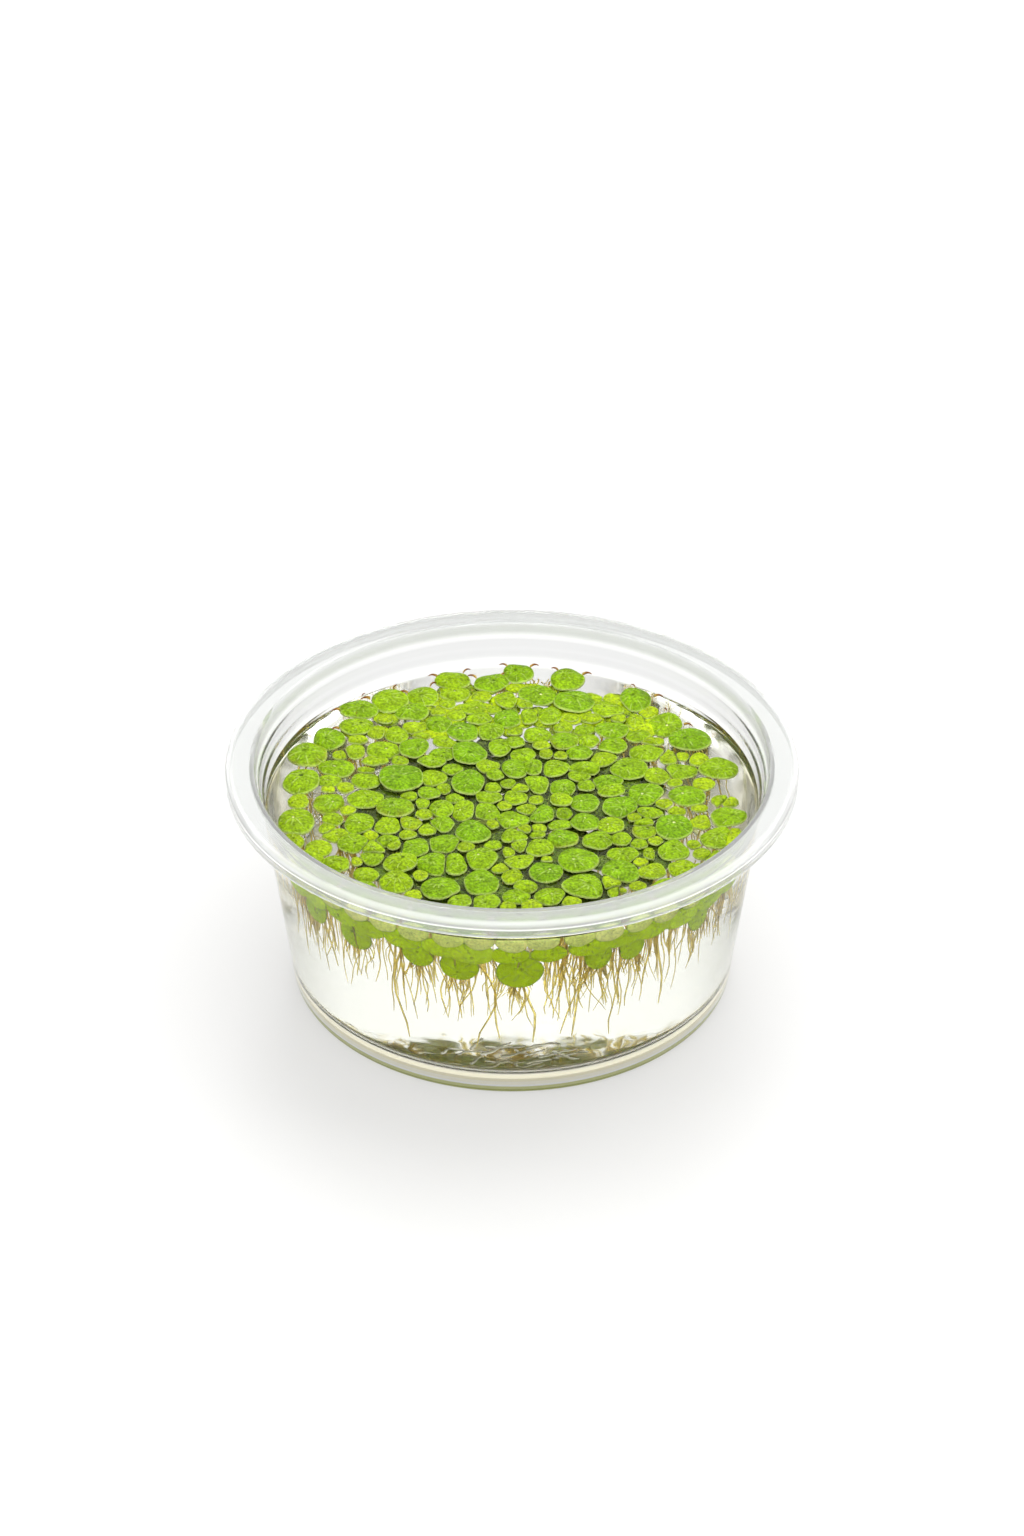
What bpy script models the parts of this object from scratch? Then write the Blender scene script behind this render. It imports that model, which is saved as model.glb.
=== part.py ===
"""Greater duckweed floating in a small round tub of water.

The origin is on the ground at the middle of the tub, +Z is up and -Y is the front.
The tub and the water are turned solids. Each plant is one solid: a large old frond, the
young fronds that are still joined to it, and the tuft of roots that hangs below it.
Sizes are written in millimetres and scaled to metres where a mesh is made.
"""

import math

import bmesh
import bpy
from mathutils import Vector

MM = 0.001

# Tub
TUB_HEIGHT = 32.6
RIM_RADIUS = 37.5
MOUTH_RADIUS = 33.9
SKIRT_DROP = 2.1
FLANGE_THICKNESS = 0.6
SKIRT_THICKNESS = 0.6
RIM_EDGE = 0.6
LIP_FLARE = 0.1
LIP_INSET = 0.25
LIP_DROP = 0.35
NECK_INSET = 0.45
NECK_DROP = 1.8
NECK_FLARE = 0.9
SHOULDER_DROP = 2.5
FOOT_RADIUS = 29.5
FOOT_WIDTH = 1.2
FOOT_CHAMFER = 0.3
FOOT_CHAMFER_RISE = 0.5
WALL_SLOPE = 0.1267
WALL_THICKNESS = 0.55
FLOOR_TOP = 3.3
FLOOR_THICKNESS = 0.6
FLOOR_FILLET = 1.2
TURN_STEPS = 40

# Water
WATER_LEVEL = 26.2
CLEARANCE = 0.3
POCKET_CLEARANCE = 0.35

# Plants
MOST_PLANTS = 54
FROND_BASE = WATER_LEVEL + CLEARANCE
FROND_THICKNESS = 0.5
FROND_SPREAD = 1.12
FROND_DOME = 0.22
FROND_SIDES = 9
YOUNG_SIDES = 7
SMALL_SIDES = 6
SMALL_AREA = 13.0
UPPER_EDGE = 0.9
LEVEL_STEP = 0.025
MAT_REACH = 31.5
NEIGHBOUR_REACH = 12.0
LEAST_FACING = 0.01
JOIN_DEPTH = 1.1
JOIN_GAP = 1.1
MOTHER_SPACING = 5.7
MOST_YOUNG = 3
WELD_DISTANCE = 0.02
ROOT_SIDES = 4
ROOT_TOP_RADIUS = 0.75
ROOT_TIP_RADIUS = 0.3
ROOT_TIP_LEVEL = 14.6
ROOT_TIP_SPREAD = 1.6
ROOT_TIP_RISE = 0.46
ROOT_TIP_MIDDLE = 14.2
ROOT_TIP_TOP = 23.4
ROOT_WAVE_ACROSS = 2.1
ROOT_WAVE_ALONG = 1.7
ROOT_REACH = 27.2
ROOT_START_REACH = 28.2
LONG_ROOT_RANGE = 2.4
SUNKEN_REACH = 30.85
SUNKEN_THICKNESS = 0.4
SUNKEN_SIDES = 8
SUNKEN_LOW = 18.4
SUNKEN_LEAN = 0.13
STALK_RISE = 0.25
POCKET_RISE = 2.0
POCKET_OUTWARD = 3.0
STALK_END = 0.9

# Floating fronds as (x, y, width, depth), read from the photograph from the back to the front
FRONDS = [
    (0.9, 29.5, 4.2, 5.0), (7.6, 27.9, 4.6, 5.2), (-8.1, 27.9, 5.0, 4.0),
    (-3.1, 27.2, 4.5, 4.2), (-7.9, 24.3, 4.8, 3.6), (3.3, 24.2, 5.0, 5.6),
    (-12.0, 23.9, 4.6, 4.8), (-4.2, 23.8, 2.8, 2.8), (-0.8, 23.1, 3.0, 4.5),
    (16.9, 22.9, 4.2, 6.2), (-16.6, 22.6, 5.2, 6.0), (8.5, 22.2, 5.8, 6.0),
    (-5.2, 21.0, 4.0, 4.0), (13.1, 20.7, 4.6, 4.6), (-13.5, 19.9, 5.0, 4.0),
    (-20.8, 20.6, 5.5, 4.6), (5.1, 19.0, 3.6, 5.0), (10.8, 18.3, 3.0, 2.4),
    (-0.6, 18.1, 4.2, 4.6), (-4.5, 17.9, 4.0, 3.0), (16.7, 17.6, 2.6, 4.4),
    (2.3, 18.5, 2.6, 4.4), (20.6, 16.8, 4.8, 5.6), (-9.9, 16.8, 3.6, 4.4),
    (-21.0, 16.2, 5.0, 4.4), (-13.5, 16.0, 3.0, 3.0), (-2.9, 15.2, 4.0, 4.0),
    (7.0, 15.8, 2.8, 3.0), (9.5, 15.4, 2.6, 2.8), (-6.5, 15.2, 5.0, 5.0),
    (13.5, 15.1, 5.0, 4.2), (-18.3, 15.0, 2.6, 3.0), (-15.6, 14.7, 3.4, 4.0),
    (3.3, 14.3, 3.8, 4.0), (17.0, 14.0, 3.6, 3.0), (-24.5, 13.2, 4.3, 5.6),
    (23.9, 12.9, 6.0, 5.4), (7.0, 12.6, 4.2, 5.0), (10.4, 12.9, 3.0, 3.4),
    (-9.2, 12.7, 3.0, 3.0), (0.4, 12.2, 2.8, 3.0), (13.5, 11.5, 4.2, 3.6),
    (-1.6, 11.2, 3.2, 4.6), (-13.1, 10.8, 4.4, 5.2), (18.1, 10.1, 5.0, 4.4),
    (-9.5, 9.6, 4.0, 3.2), (-17.4, 10.3, 4.6, 4.8), (-21.0, 9.9, 3.0, 4.0),
    (9.0, 9.9, 4.0, 3.6), (1.5, 9.5, 3.6, 3.0), (20.9, 8.6, 2.6, 3.6),
    (-5.8, 9.7, 5.0, 5.6), (-27.2, 9.2, 5.2, 6.2), (12.4, 8.6, 3.4, 3.6),
    (24.9, 8.2, 2.8, 3.2), (2.9, 6.5, 2.8, 4.0), (27.4, 5.9, 5.2, 5.0),
    (5.6, 6.3, 3.6, 4.2), (15.6, 6.0, 5.2, 5.4), (0.2, 6.0, 4.0, 4.6),
    (9.5, 5.8, 4.2, 3.8), (-23.1, 6.0, 4.8, 3.8), (22.0, 5.4, 3.4, 4.0),
    (-2.9, 6.3, 3.2, 3.0), (19.5, 4.3, 3.8, 4.2), (-10.3, 3.8, 3.6, 4.2),
    (-14.6, 3.6, 6.6, 6.6), (-19.4, 3.0, 4.2, 3.6), (-24.0, 3.0, 3.2, 3.0),
    (-27.8, 2.9, 4.8, 6.2), (-5.8, 2.4, 4.8, 6.0), (12.4, 2.6, 4.4, 3.4),
    (25.4, 2.6, 3.0, 3.2), (3.5, 2.2, 3.0, 4.0), (6.7, 1.7, 3.8, 3.6),
    (17.6, 0.2, 5.0, 5.4), (23.0, -0.6, 5.2, 5.4), (-19.5, -0.9, 5.0, 4.4),
    (-2.8, -0.9, 3.6, 2.8), (6.5, -1.5, 3.0, 3.0), (9.6, -2.0, 4.0, 4.2),
    (27.6, -1.4, 3.0, 2.6), (-28.0, -1.9, 2.8, 3.0), (-24.0, -2.2, 4.4, 5.2),
    (14.1, -3.1, 4.8, 5.4), (-9.3, -3.4, 3.6, 4.0), (-15.2, -3.4, 5.4, 4.8),
    (-6.3, -3.8, 3.2, 4.6), (-3.3, -4.0, 3.6, 3.8), (18.1, -4.3, 4.2, 2.4),
    (4.0, -4.7, 3.2, 4.8), (28.1, -5.6, 4.8, 5.0), (0.1, -5.9, 4.6, 4.4),
    (-23.3, -6.0, 3.0, 3.0), (-28.0, -6.8, 4.8, 6.2), (24.7, -6.6, 2.6, 3.0),
    (-12.9, -7.1, 3.0, 3.0), (-9.2, -7.0, 3.4, 3.4), (9.5, -6.8, 4.0, 4.2),
    (12.9, -7.3, 3.4, 3.6), (-19.9, -6.6, 4.4, 4.4), (-16.3, -7.6, 3.6, 3.2),
    (6.0, -7.2, 3.0, 2.6), (20.9, -7.8, 5.2, 5.8), (17.2, -8.4, 3.2, 4.6),
    (-5.0, -9.0, 4.8, 5.6), (-23.0, -9.4, 3.6, 3.4), (6.6, -10.0, 4.4, 4.2),
    (0.4, -9.9, 3.6, 4.2), (14.2, -10.4, 2.8, 3.0), (3.5, -12.4, 4.0, 4.0),
    (11.0, -10.8, 4.0, 3.8), (26.3, -10.6, 4.2, 4.6), (-8.9, -11.5, 4.2, 4.0),
    (-15.9, -11.2, 3.6, 3.6), (-12.4, -12.0, 4.0, 4.0), (-24.9, -12.4, 3.6, 4.0),
    (-20.3, -11.6, 4.6, 4.2), (20.9, -13.0, 4.6, 4.4), (24.5, -13.8, 2.8, 2.8),
    (-18.0, -14.6, 3.4, 3.2), (-3.9, -15.0, 4.4, 4.8), (14.4, -13.8, 4.6, 3.4),
    (8.5, -15.2, 5.6, 5.8), (0.7, -15.4, 3.8, 3.2), (-22.4, -15.9, 3.4, 3.6),
    (-14.4, -15.9, 4.8, 4.2), (-9.9, -16.0, 4.4, 5.4), (4.3, -17.6, 4.4, 5.0),
    (21.9, -17.0, 4.2, 3.6), (-18.6, -18.3, 3.4, 3.0), (18.1, -17.6, 3.4, 3.8),
    (13.9, -17.9, 5.0, 5.4), (0.0, -18.9, 2.8, 3.6), (-14.7, -20.2, 4.6, 4.4),
    (-3.9, -20.3, 4.6, 5.2), (9.2, -21.2, 5.8, 5.4), (-9.2, -21.6, 5.4, 5.0),
    (13.3, -21.9, 2.6, 3.4), (0.6, -23.2, 4.0, 3.6), (4.6, -23.3, 4.2, 3.8),
    (-3.2, -24.3, 4.0, 3.2),
]

# Fronds of the front rows, which the rim hides from above but which show through the wall
FRONT_FRONDS = [
    (-28.4, -11.2, 3.2, 4.0), (-26.2, -15.4, 4.2, 4.4), (-23.6, -19.2, 4.4, 4.6),
    (-19.3, -22.3, 4.8, 5.0), (-15.2, -25.1, 4.8, 5.0), (-10.8, -27.1, 5.0, 5.0),
    (-5.7, -28.3, 5.6, 5.2), (0.6, -28.9, 6.0, 5.2), (6.4, -28.0, 5.0, 5.2),
    (10.9, -27.0, 5.2, 5.0), (15.3, -24.9, 5.0, 5.2), (19.9, -21.6, 4.8, 5.0),
    (23.9, -18.3, 4.4, 4.6), (26.4, -15.0, 3.8, 4.2), (28.6, -11.2, 2.8, 3.6),
]

# Fronds pushed under along the front wall as (x, level of the middle, width, height)
SUNKEN_FRONDS = [
    (-24.6, 21.8, 4.2, 3.8), (-19.6, 21.6, 5.0, 4.4), (-11.8, 21.8, 4.4, 3.4),
    (-6.6, 21.0, 4.8, 3.9), (1.0, 20.6, 5.8, 4.4), (10.8, 21.8, 3.6, 3.8),
    (15.0, 21.8, 3.6, 3.6), (23.4, 21.8, 3.6, 4.2),
]

# The longest roots as (x, y, level of the tip)
LONG_ROOTS = [
    (-12.4, -27.0, 7.2), (-5.4, -20.6, 6.6), (-0.8, -20.4, 6.4), (1.0, -28.0, 7.4),
    (8.0, -20.6, 6.0), (11.8, -26.0, 7.6), (-20.0, -12.0, 11.0), (20.0, -13.0, 11.6),
]

# Colours as linear RGBA
PLASTIC_COLOUR = (0.93, 0.95, 0.95, 1.0)
WATER_COLOUR = (0.90, 0.94, 0.92, 1.0)
FROND_COLOUR = (0.16, 0.42, 0.03, 1.0)


def clear_scene():
    for item in list(bpy.data.objects):
        bpy.data.objects.remove(item, do_unlink=True)


def new_collection(name):
    collection = bpy.data.collections.new(name)
    bpy.context.scene.collection.children.link(collection)
    return collection


def new_material(name, colour, roughness, transmission=0.0):
    material = bpy.data.materials.new(name)
    material.use_nodes = True
    shader = material.node_tree.nodes["Principled BSDF"]
    shader.inputs["Base Color"].default_value = colour
    shader.inputs["Roughness"].default_value = roughness
    shader.inputs["Metallic"].default_value = 0.0
    shader.inputs["Transmission Weight"].default_value = transmission
    return material


def new_object(name, mesh, collection, material):
    item = bpy.data.objects.new(name, mesh)
    item.data.materials.append(material)
    collection.objects.link(item)
    return item


def mesh_from(shape, name):
    """Scale a bmesh from millimetres to metres and keep it as a mesh."""
    bmesh.ops.scale(shape, vec=(MM, MM, MM), verts=shape.verts)
    mesh = bpy.data.meshes.new(name)
    shape.to_mesh(mesh)
    shape.free()
    return mesh


def turned(name, profile, collection, material):
    """Turn a profile of (radius, level), which runs down the outer side, about the Z axis."""
    shape = bmesh.new()
    points = [shape.verts.new((radius, 0.0, level)) for radius, level in profile]
    for first, second in zip(points, points[1:]):
        shape.edges.new((first, second))
    item = new_object(name, mesh_from(shape, name), collection, material)
    screw = item.modifiers.new("Turn", "SCREW")
    screw.axis = "Z"
    screw.angle = 2.0 * math.pi
    screw.steps = TURN_STEPS
    screw.render_steps = TURN_STEPS
    screw.use_merge_vertices = True
    screw.merge_threshold = 0.00001
    item.data.shade_smooth()
    return item


def arc(centre, radius, first, last, count):
    """Points on an arc in the profile's plane, at angles in degrees."""
    step = (last - first) / (count - 1)
    angles = [math.radians(first + step * index) for index in range(count)]
    return [
        (centre[0] + radius * math.cos(angle), centre[1] + radius * math.sin(angle))
        for angle in angles
    ]


def outer_radius(level):
    return FOOT_RADIUS + WALL_SLOPE * level


def inner_radius(level):
    return outer_radius(level) - WALL_THICKNESS


def tub_profile():
    fillet_level = FLOOR_TOP + FLOOR_FILLET
    fillet_centre = (inner_radius(fillet_level) - FLOOR_FILLET, fillet_level)
    shoulder = TUB_HEIGHT - SHOULDER_DROP
    neck = TUB_HEIGHT - NECK_DROP
    neck_radius = MOUTH_RADIUS - NECK_INSET
    skirt = TUB_HEIGHT - SKIRT_DROP
    flange = TUB_HEIGHT - FLANGE_THICKNESS
    foot_inside = FOOT_RADIUS - FOOT_WIDTH
    floor_underside = FLOOR_TOP - FLOOR_THICKNESS
    points = [(0.0, FLOOR_TOP)]
    points += arc(fillet_centre, FLOOR_FILLET, -90.0, 0.0, 3)
    points += [(inner_radius(shoulder), shoulder), (neck_radius, neck)]
    points += [(MOUTH_RADIUS - LIP_INSET, TUB_HEIGHT - LIP_DROP)]
    points += [(MOUTH_RADIUS + LIP_FLARE, TUB_HEIGHT)]
    points += arc((RIM_RADIUS - RIM_EDGE, TUB_HEIGHT - RIM_EDGE), RIM_EDGE, 90.0, 0.0, 3)
    points += [(RIM_RADIUS, skirt), (RIM_RADIUS - SKIRT_THICKNESS, skirt)]
    points += [(RIM_RADIUS - SKIRT_THICKNESS, flange), (neck_radius + NECK_FLARE, flange)]
    points += [(neck_radius + WALL_THICKNESS, neck), (outer_radius(shoulder), shoulder)]
    points += [(outer_radius(FOOT_CHAMFER_RISE), FOOT_CHAMFER_RISE)]
    points += [(FOOT_RADIUS - FOOT_CHAMFER, 0.0), (foot_inside, 0.0)]
    points += [(foot_inside, floor_underside), (0.0, floor_underside)]
    return points


def water_profile():
    fillet_level = FLOOR_TOP + FLOOR_FILLET
    radius = FLOOR_FILLET - CLEARANCE
    centre = (inner_radius(fillet_level) - FLOOR_FILLET, fillet_level)
    points = [(0.0, WATER_LEVEL), (inner_radius(WATER_LEVEL) - CLEARANCE, WATER_LEVEL)]
    points += arc(centre, radius, 0.0, -90.0, 2)
    points += [(0.0, FLOOR_TOP + CLEARANCE)]
    return points


def size_of(frond):
    return frond[2] * frond[3]


def reach(frond, direction):
    """How far a frond's own oval reaches from its middle in a direction."""
    half_width, half_depth = FROND_SPREAD * frond[2] / 2.0, FROND_SPREAD * frond[3] / 2.0
    return 1.0 / math.hypot(direction[0] / half_width, direction[1] / half_depth)


def towards(frond, other):
    """The distance and direction from one frond's middle to another's."""
    across, along = other[0] - frond[0], other[1] - frond[1]
    distance = math.hypot(across, along)
    return distance, (across / distance, along / distance)


def gap_between(frond, other):
    distance, direction = towards(frond, other)
    return distance - reach(frond, direction) - reach(other, direction)


def make_colonies():
    """Take the largest fronds as mothers, and join each young frond to the closest of them."""
    fronds = sorted(FRONDS + FRONT_FRONDS, key=size_of, reverse=True)
    colonies = []
    young_fronds = []
    for frond in fronds:
        near = [1 for colony in colonies if towards(frond, colony[0])[0] < MOTHER_SPACING]
        if near or len(colonies) == MOST_PLANTS:
            young_fronds.append(frond)
        else:
            colonies.append([frond])
    for young in young_fronds:
        free = [colony for colony in colonies if len(colony) <= MOST_YOUNG]
        closest = min(free, key=lambda colony: gap_between(colony[0], young))
        if gap_between(closest[0], young) < JOIN_GAP:
            closest.append(young)
    return colonies


def outline(frond, sides, strangers, mother=None):
    """A ring of points about a frond, held clear of strangers' fronds and of the wall.

    A young frond reaches into its mother at the point where the two are joined.
    """
    middle = Vector((frond[0], frond[1]))
    limits = []
    for other in strangers:
        distance, direction = towards(frond, other)
        if distance > NEIGHBOUR_REACH:
            continue
        own, theirs = reach(frond, direction), reach(other, direction)
        border = distance * own / (own + theirs) - CLEARANCE / 2.0
        limits.append((Vector(direction), border))
    start = 0.0
    join = None
    if mother:
        distance, direction = towards(frond, mother)
        start = math.atan2(direction[1], direction[0])
        join = distance - reach(mother, direction) + JOIN_DEPTH
    points = []
    for index in range(sides):
        angle = start + 2.0 * math.pi * index / sides
        direction = Vector((math.cos(angle), math.sin(angle)))
        length = reach(frond, direction)
        if join and index == 0:
            length = max(length, join)
        for normal, border in limits:
            facing = direction.dot(normal)
            if facing > LEAST_FACING:
                length = min(length, border / facing)
        inward = middle.dot(direction)
        to_edge = math.sqrt(inward**2 + MAT_REACH**2 - middle.length_squared) - inward
        points.append(middle + direction * min(length, to_edge))
    return points


def frond_mesh(name, points, middle, level, dome):
    """A low disc on an outline, with a narrower upper face that a dome can raise."""
    sides = len(points)
    shape = bmesh.new()
    bmesh.ops.create_cone(
        shape, cap_ends=True, segments=sides, radius1=1.0, radius2=1.0, depth=1.0
    )
    middle = Vector(middle)
    for vertex in shape.verts:
        turn = math.atan2(vertex.co.x, vertex.co.y) / (-2.0 * math.pi)
        offset = points[round(turn * sides) % sides] - middle
        upper = vertex.co.z > 0.0
        offset = offset * (UPPER_EDGE if upper else 1.0)
        rise = FROND_THICKNESS if upper else 0.0
        vertex.co = (middle.x + offset.x, middle.y + offset.y, level + rise)
    if dome:
        top = [face for face in shape.faces if min(v.co.z for v in face.verts) > level]
        poked = bmesh.ops.poke(shape, faces=top)
        poked["verts"][0].co.z += dome
    return mesh_from(shape, name)


def spike_mesh(name, top, tip, top_radius, tip_radius):
    """A slim tapered prism from its top down to its tip."""
    shape = bmesh.new()
    made = bmesh.ops.create_cone(
        shape, cap_ends=True, segments=ROOT_SIDES, radius1=1.0, radius2=1.0, depth=1.0
    )
    for vertex in made["verts"]:
        upper = vertex.co.z > 0.0
        centre, radius = (top, top_radius) if upper else (tip, tip_radius)
        vertex.co = (
            centre[0] + vertex.co.x * radius,
            centre[1] + vertex.co.y * radius,
            centre[2],
        )
    return mesh_from(shape, name)


def combine(item, other, operation):
    """Join another solid to this one, or cut it away."""
    other.hide_render = True
    other.display_type = "WIRE"
    cut = item.modifiers.new(other.name, "BOOLEAN")
    cut.operation = operation
    cut.object = other
    cut.solver = "EXACT"


def weld(item):
    """Close up the slivers that joining fronds leaves."""
    merge = item.modifiers.new("Weld", "WELD")
    merge.merge_threshold = WELD_DISTANCE * MM


def root_tip_level(across, along):
    """Long roots at the front and shorter ones towards the back, where the plants are younger."""
    wave = math.sin(ROOT_WAVE_ACROSS * across) * math.cos(ROOT_WAVE_ALONG * along)
    level = max(ROOT_TIP_LEVEL, ROOT_TIP_MIDDLE + ROOT_TIP_RISE * along)
    return min(level + ROOT_TIP_SPREAD * wave, ROOT_TIP_TOP)


def held_within(flat, limit):
    return flat.normalized() * limit if flat.length > limit else flat


def root_ends(mother):
    """Where a plant's tuft starts and where its longest root ends."""
    start = held_within(Vector(mother[:2]), ROOT_START_REACH)
    flat = Vector(mother[:2])
    level = root_tip_level(*flat)
    for across, along, long_level in LONG_ROOTS:
        if math.hypot(across - mother[0], along - mother[1]) < LONG_ROOT_RANGE:
            flat = Vector((across, along))
            level = long_level
    flat = held_within(flat, ROOT_REACH)
    top = FROND_BASE + FROND_THICKNESS / 2.0
    return Vector((start.x, start.y, top)), Vector((flat.x, flat.y, level))


def sunken_mesh(name, sunken, grow):
    """A frond that hangs upright inside the front wall, its stalk end up in the mat."""
    across, level, width, height = sunken
    angle = math.atan2(-math.sqrt(SUNKEN_REACH**2 - across**2), across)
    shape = bmesh.new()
    bmesh.ops.create_cone(
        shape, cap_ends=True, segments=SUNKEN_SIDES, radius1=1.0, radius2=1.0, depth=1.0
    )
    inner = SUNKEN_REACH - SUNKEN_THICKNESS - grow
    outer = SUNKEN_REACH + (POCKET_OUTWARD if grow else 0.0)
    for vertex in shape.verts:
        side = vertex.co.x * (width / 2.0 + grow)
        rise = level + vertex.co.y * (height / 2.0 + grow)
        if vertex.co.y > STALK_END:
            rise = FROND_BASE + STALK_RISE + (POCKET_RISE if grow else 0.0)
        radial = outer if vertex.co.z > 0.0 else inner
        radial -= SUNKEN_LEAN * (rise - SUNKEN_LOW)
        vertex.co = (
            radial * math.cos(angle) - side * math.sin(angle),
            radial * math.sin(angle) + side * math.cos(angle),
            rise,
        )
    return mesh_from(shape, name)


def owner_of(sunken, colonies):
    """The number of the colony whose floating frond a sunken frond's stalk meets."""
    along = -math.sqrt(SUNKEN_REACH**2 - sunken[0] ** 2)
    shrink = 1.0 - SUNKEN_LEAN * (FROND_BASE - SUNKEN_LOW) / SUNKEN_REACH
    stalk = (sunken[0] * shrink, along * shrink)

    def spread(colony):
        pairs = [(towards(frond, stalk), frond) for frond in colony]
        return min(distance / reach(frond, way) for (distance, way), frond in pairs)

    return min(range(len(colonies)), key=lambda number: spread(colonies[number]))


def make_plants(parts, helpers, material):
    """Make each plant, and return the solids that its submerged parts cut from the water."""
    colonies = make_colonies()
    pockets = []
    plants = []
    for number, colony in enumerate(colonies, 1):
        name = f"plant_{number:02d}"
        mother = colony[0]
        strangers = [f for other in colonies if other is not colony for f in other]
        ring = outline(mother, FROND_SIDES, strangers)
        mesh = frond_mesh(name, ring, mother[:2], FROND_BASE, FROND_DOME)
        plant = new_object(name, mesh, parts, material)
        for count, young in enumerate(colony[1:], 1):
            sides = YOUNG_SIDES if size_of(young) > SMALL_AREA else SMALL_SIDES
            ring = outline(young, sides, strangers, mother)
            level = FROND_BASE + LEVEL_STEP * count
            label = f"{name}_young_{count}"
            mesh = frond_mesh(label, ring, young[:2], level, 0.0)
            combine(plant, new_object(label, mesh, helpers, material), "UNION")
        top, tip = root_ends(mother)
        label = f"{name}_roots"
        mesh = spike_mesh(label, top, tip, ROOT_TOP_RADIUS, ROOT_TIP_RADIUS)
        combine(plant, new_object(label, mesh, helpers, material), "UNION")
        label = f"{name}_pocket"
        slant = (top - tip) / (top.z - tip.z)
        wide = ROOT_TOP_RADIUS + POCKET_CLEARANCE
        narrow = ROOT_TIP_RADIUS + POCKET_CLEARANCE
        mesh = spike_mesh(label, top + slant, tip - slant * CLEARANCE, wide, narrow)
        pockets.append(new_object(label, mesh, helpers, material))
        plants.append(plant)
    for number, sunken in enumerate(SUNKEN_FRONDS, 1):
        plant = plants[owner_of(sunken, colonies)]
        label = f"sunken_{number}"
        mesh = sunken_mesh(label, sunken, 0.0)
        combine(plant, new_object(label, mesh, helpers, material), "UNION")
        mesh = sunken_mesh(f"{label}_pocket", sunken, CLEARANCE)
        pockets.append(new_object(f"{label}_pocket", mesh, helpers, material))
    for plant in plants:
        weld(plant)
    return pockets


def main():
    clear_scene()
    parts = new_collection("duckweed")
    helpers = new_collection("helpers")
    plastic = new_material("clear plastic", PLASTIC_COLOUR, 0.08, 0.9)
    liquid = new_material("water", WATER_COLOUR, 0.02, 0.95)
    leaf = new_material("frond green", FROND_COLOUR, 0.35)
    turned("tub", tub_profile(), parts, plastic)
    water = turned("water", water_profile(), parts, liquid)
    for pocket in make_plants(parts, helpers, leaf):
        combine(water, pocket, "DIFFERENCE")


main()
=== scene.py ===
"""Greater duckweed floating in a small clear tub of water.

Tables of places and sizes are in millimetres, from the middle of the tub's foot. Everything
that is made from them is in metres.
"""

import math
import random

import bpy
import numpy as np
from bpy.props import FloatProperty, FloatVectorProperty, IntProperty, PointerProperty
from bpy.types import Operator, Panel, PropertyGroup
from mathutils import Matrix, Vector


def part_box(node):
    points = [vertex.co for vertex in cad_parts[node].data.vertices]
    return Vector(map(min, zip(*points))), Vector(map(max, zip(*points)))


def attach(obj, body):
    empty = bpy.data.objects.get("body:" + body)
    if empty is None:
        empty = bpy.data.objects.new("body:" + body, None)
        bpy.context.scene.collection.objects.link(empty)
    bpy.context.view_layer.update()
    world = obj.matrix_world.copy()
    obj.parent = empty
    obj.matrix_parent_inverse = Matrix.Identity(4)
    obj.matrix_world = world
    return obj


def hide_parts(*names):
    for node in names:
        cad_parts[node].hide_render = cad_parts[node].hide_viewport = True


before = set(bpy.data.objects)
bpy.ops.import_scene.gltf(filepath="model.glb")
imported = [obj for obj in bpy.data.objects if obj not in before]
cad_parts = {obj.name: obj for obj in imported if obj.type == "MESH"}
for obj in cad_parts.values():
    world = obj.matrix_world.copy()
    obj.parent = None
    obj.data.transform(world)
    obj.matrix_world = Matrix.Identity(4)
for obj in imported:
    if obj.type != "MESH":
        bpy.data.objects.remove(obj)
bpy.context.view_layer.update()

bl_info = {
    "name": "Duckweed in a Tub",
    "version": (1, 0, 0),
    "blender": (4, 5, 0),
    "location": "View3D > Sidebar > Duckweed",
    "description": "Models a clear tub of water with a floating mat of greater duckweed",
    "category": "Object",
}

MM = 0.001

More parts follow.
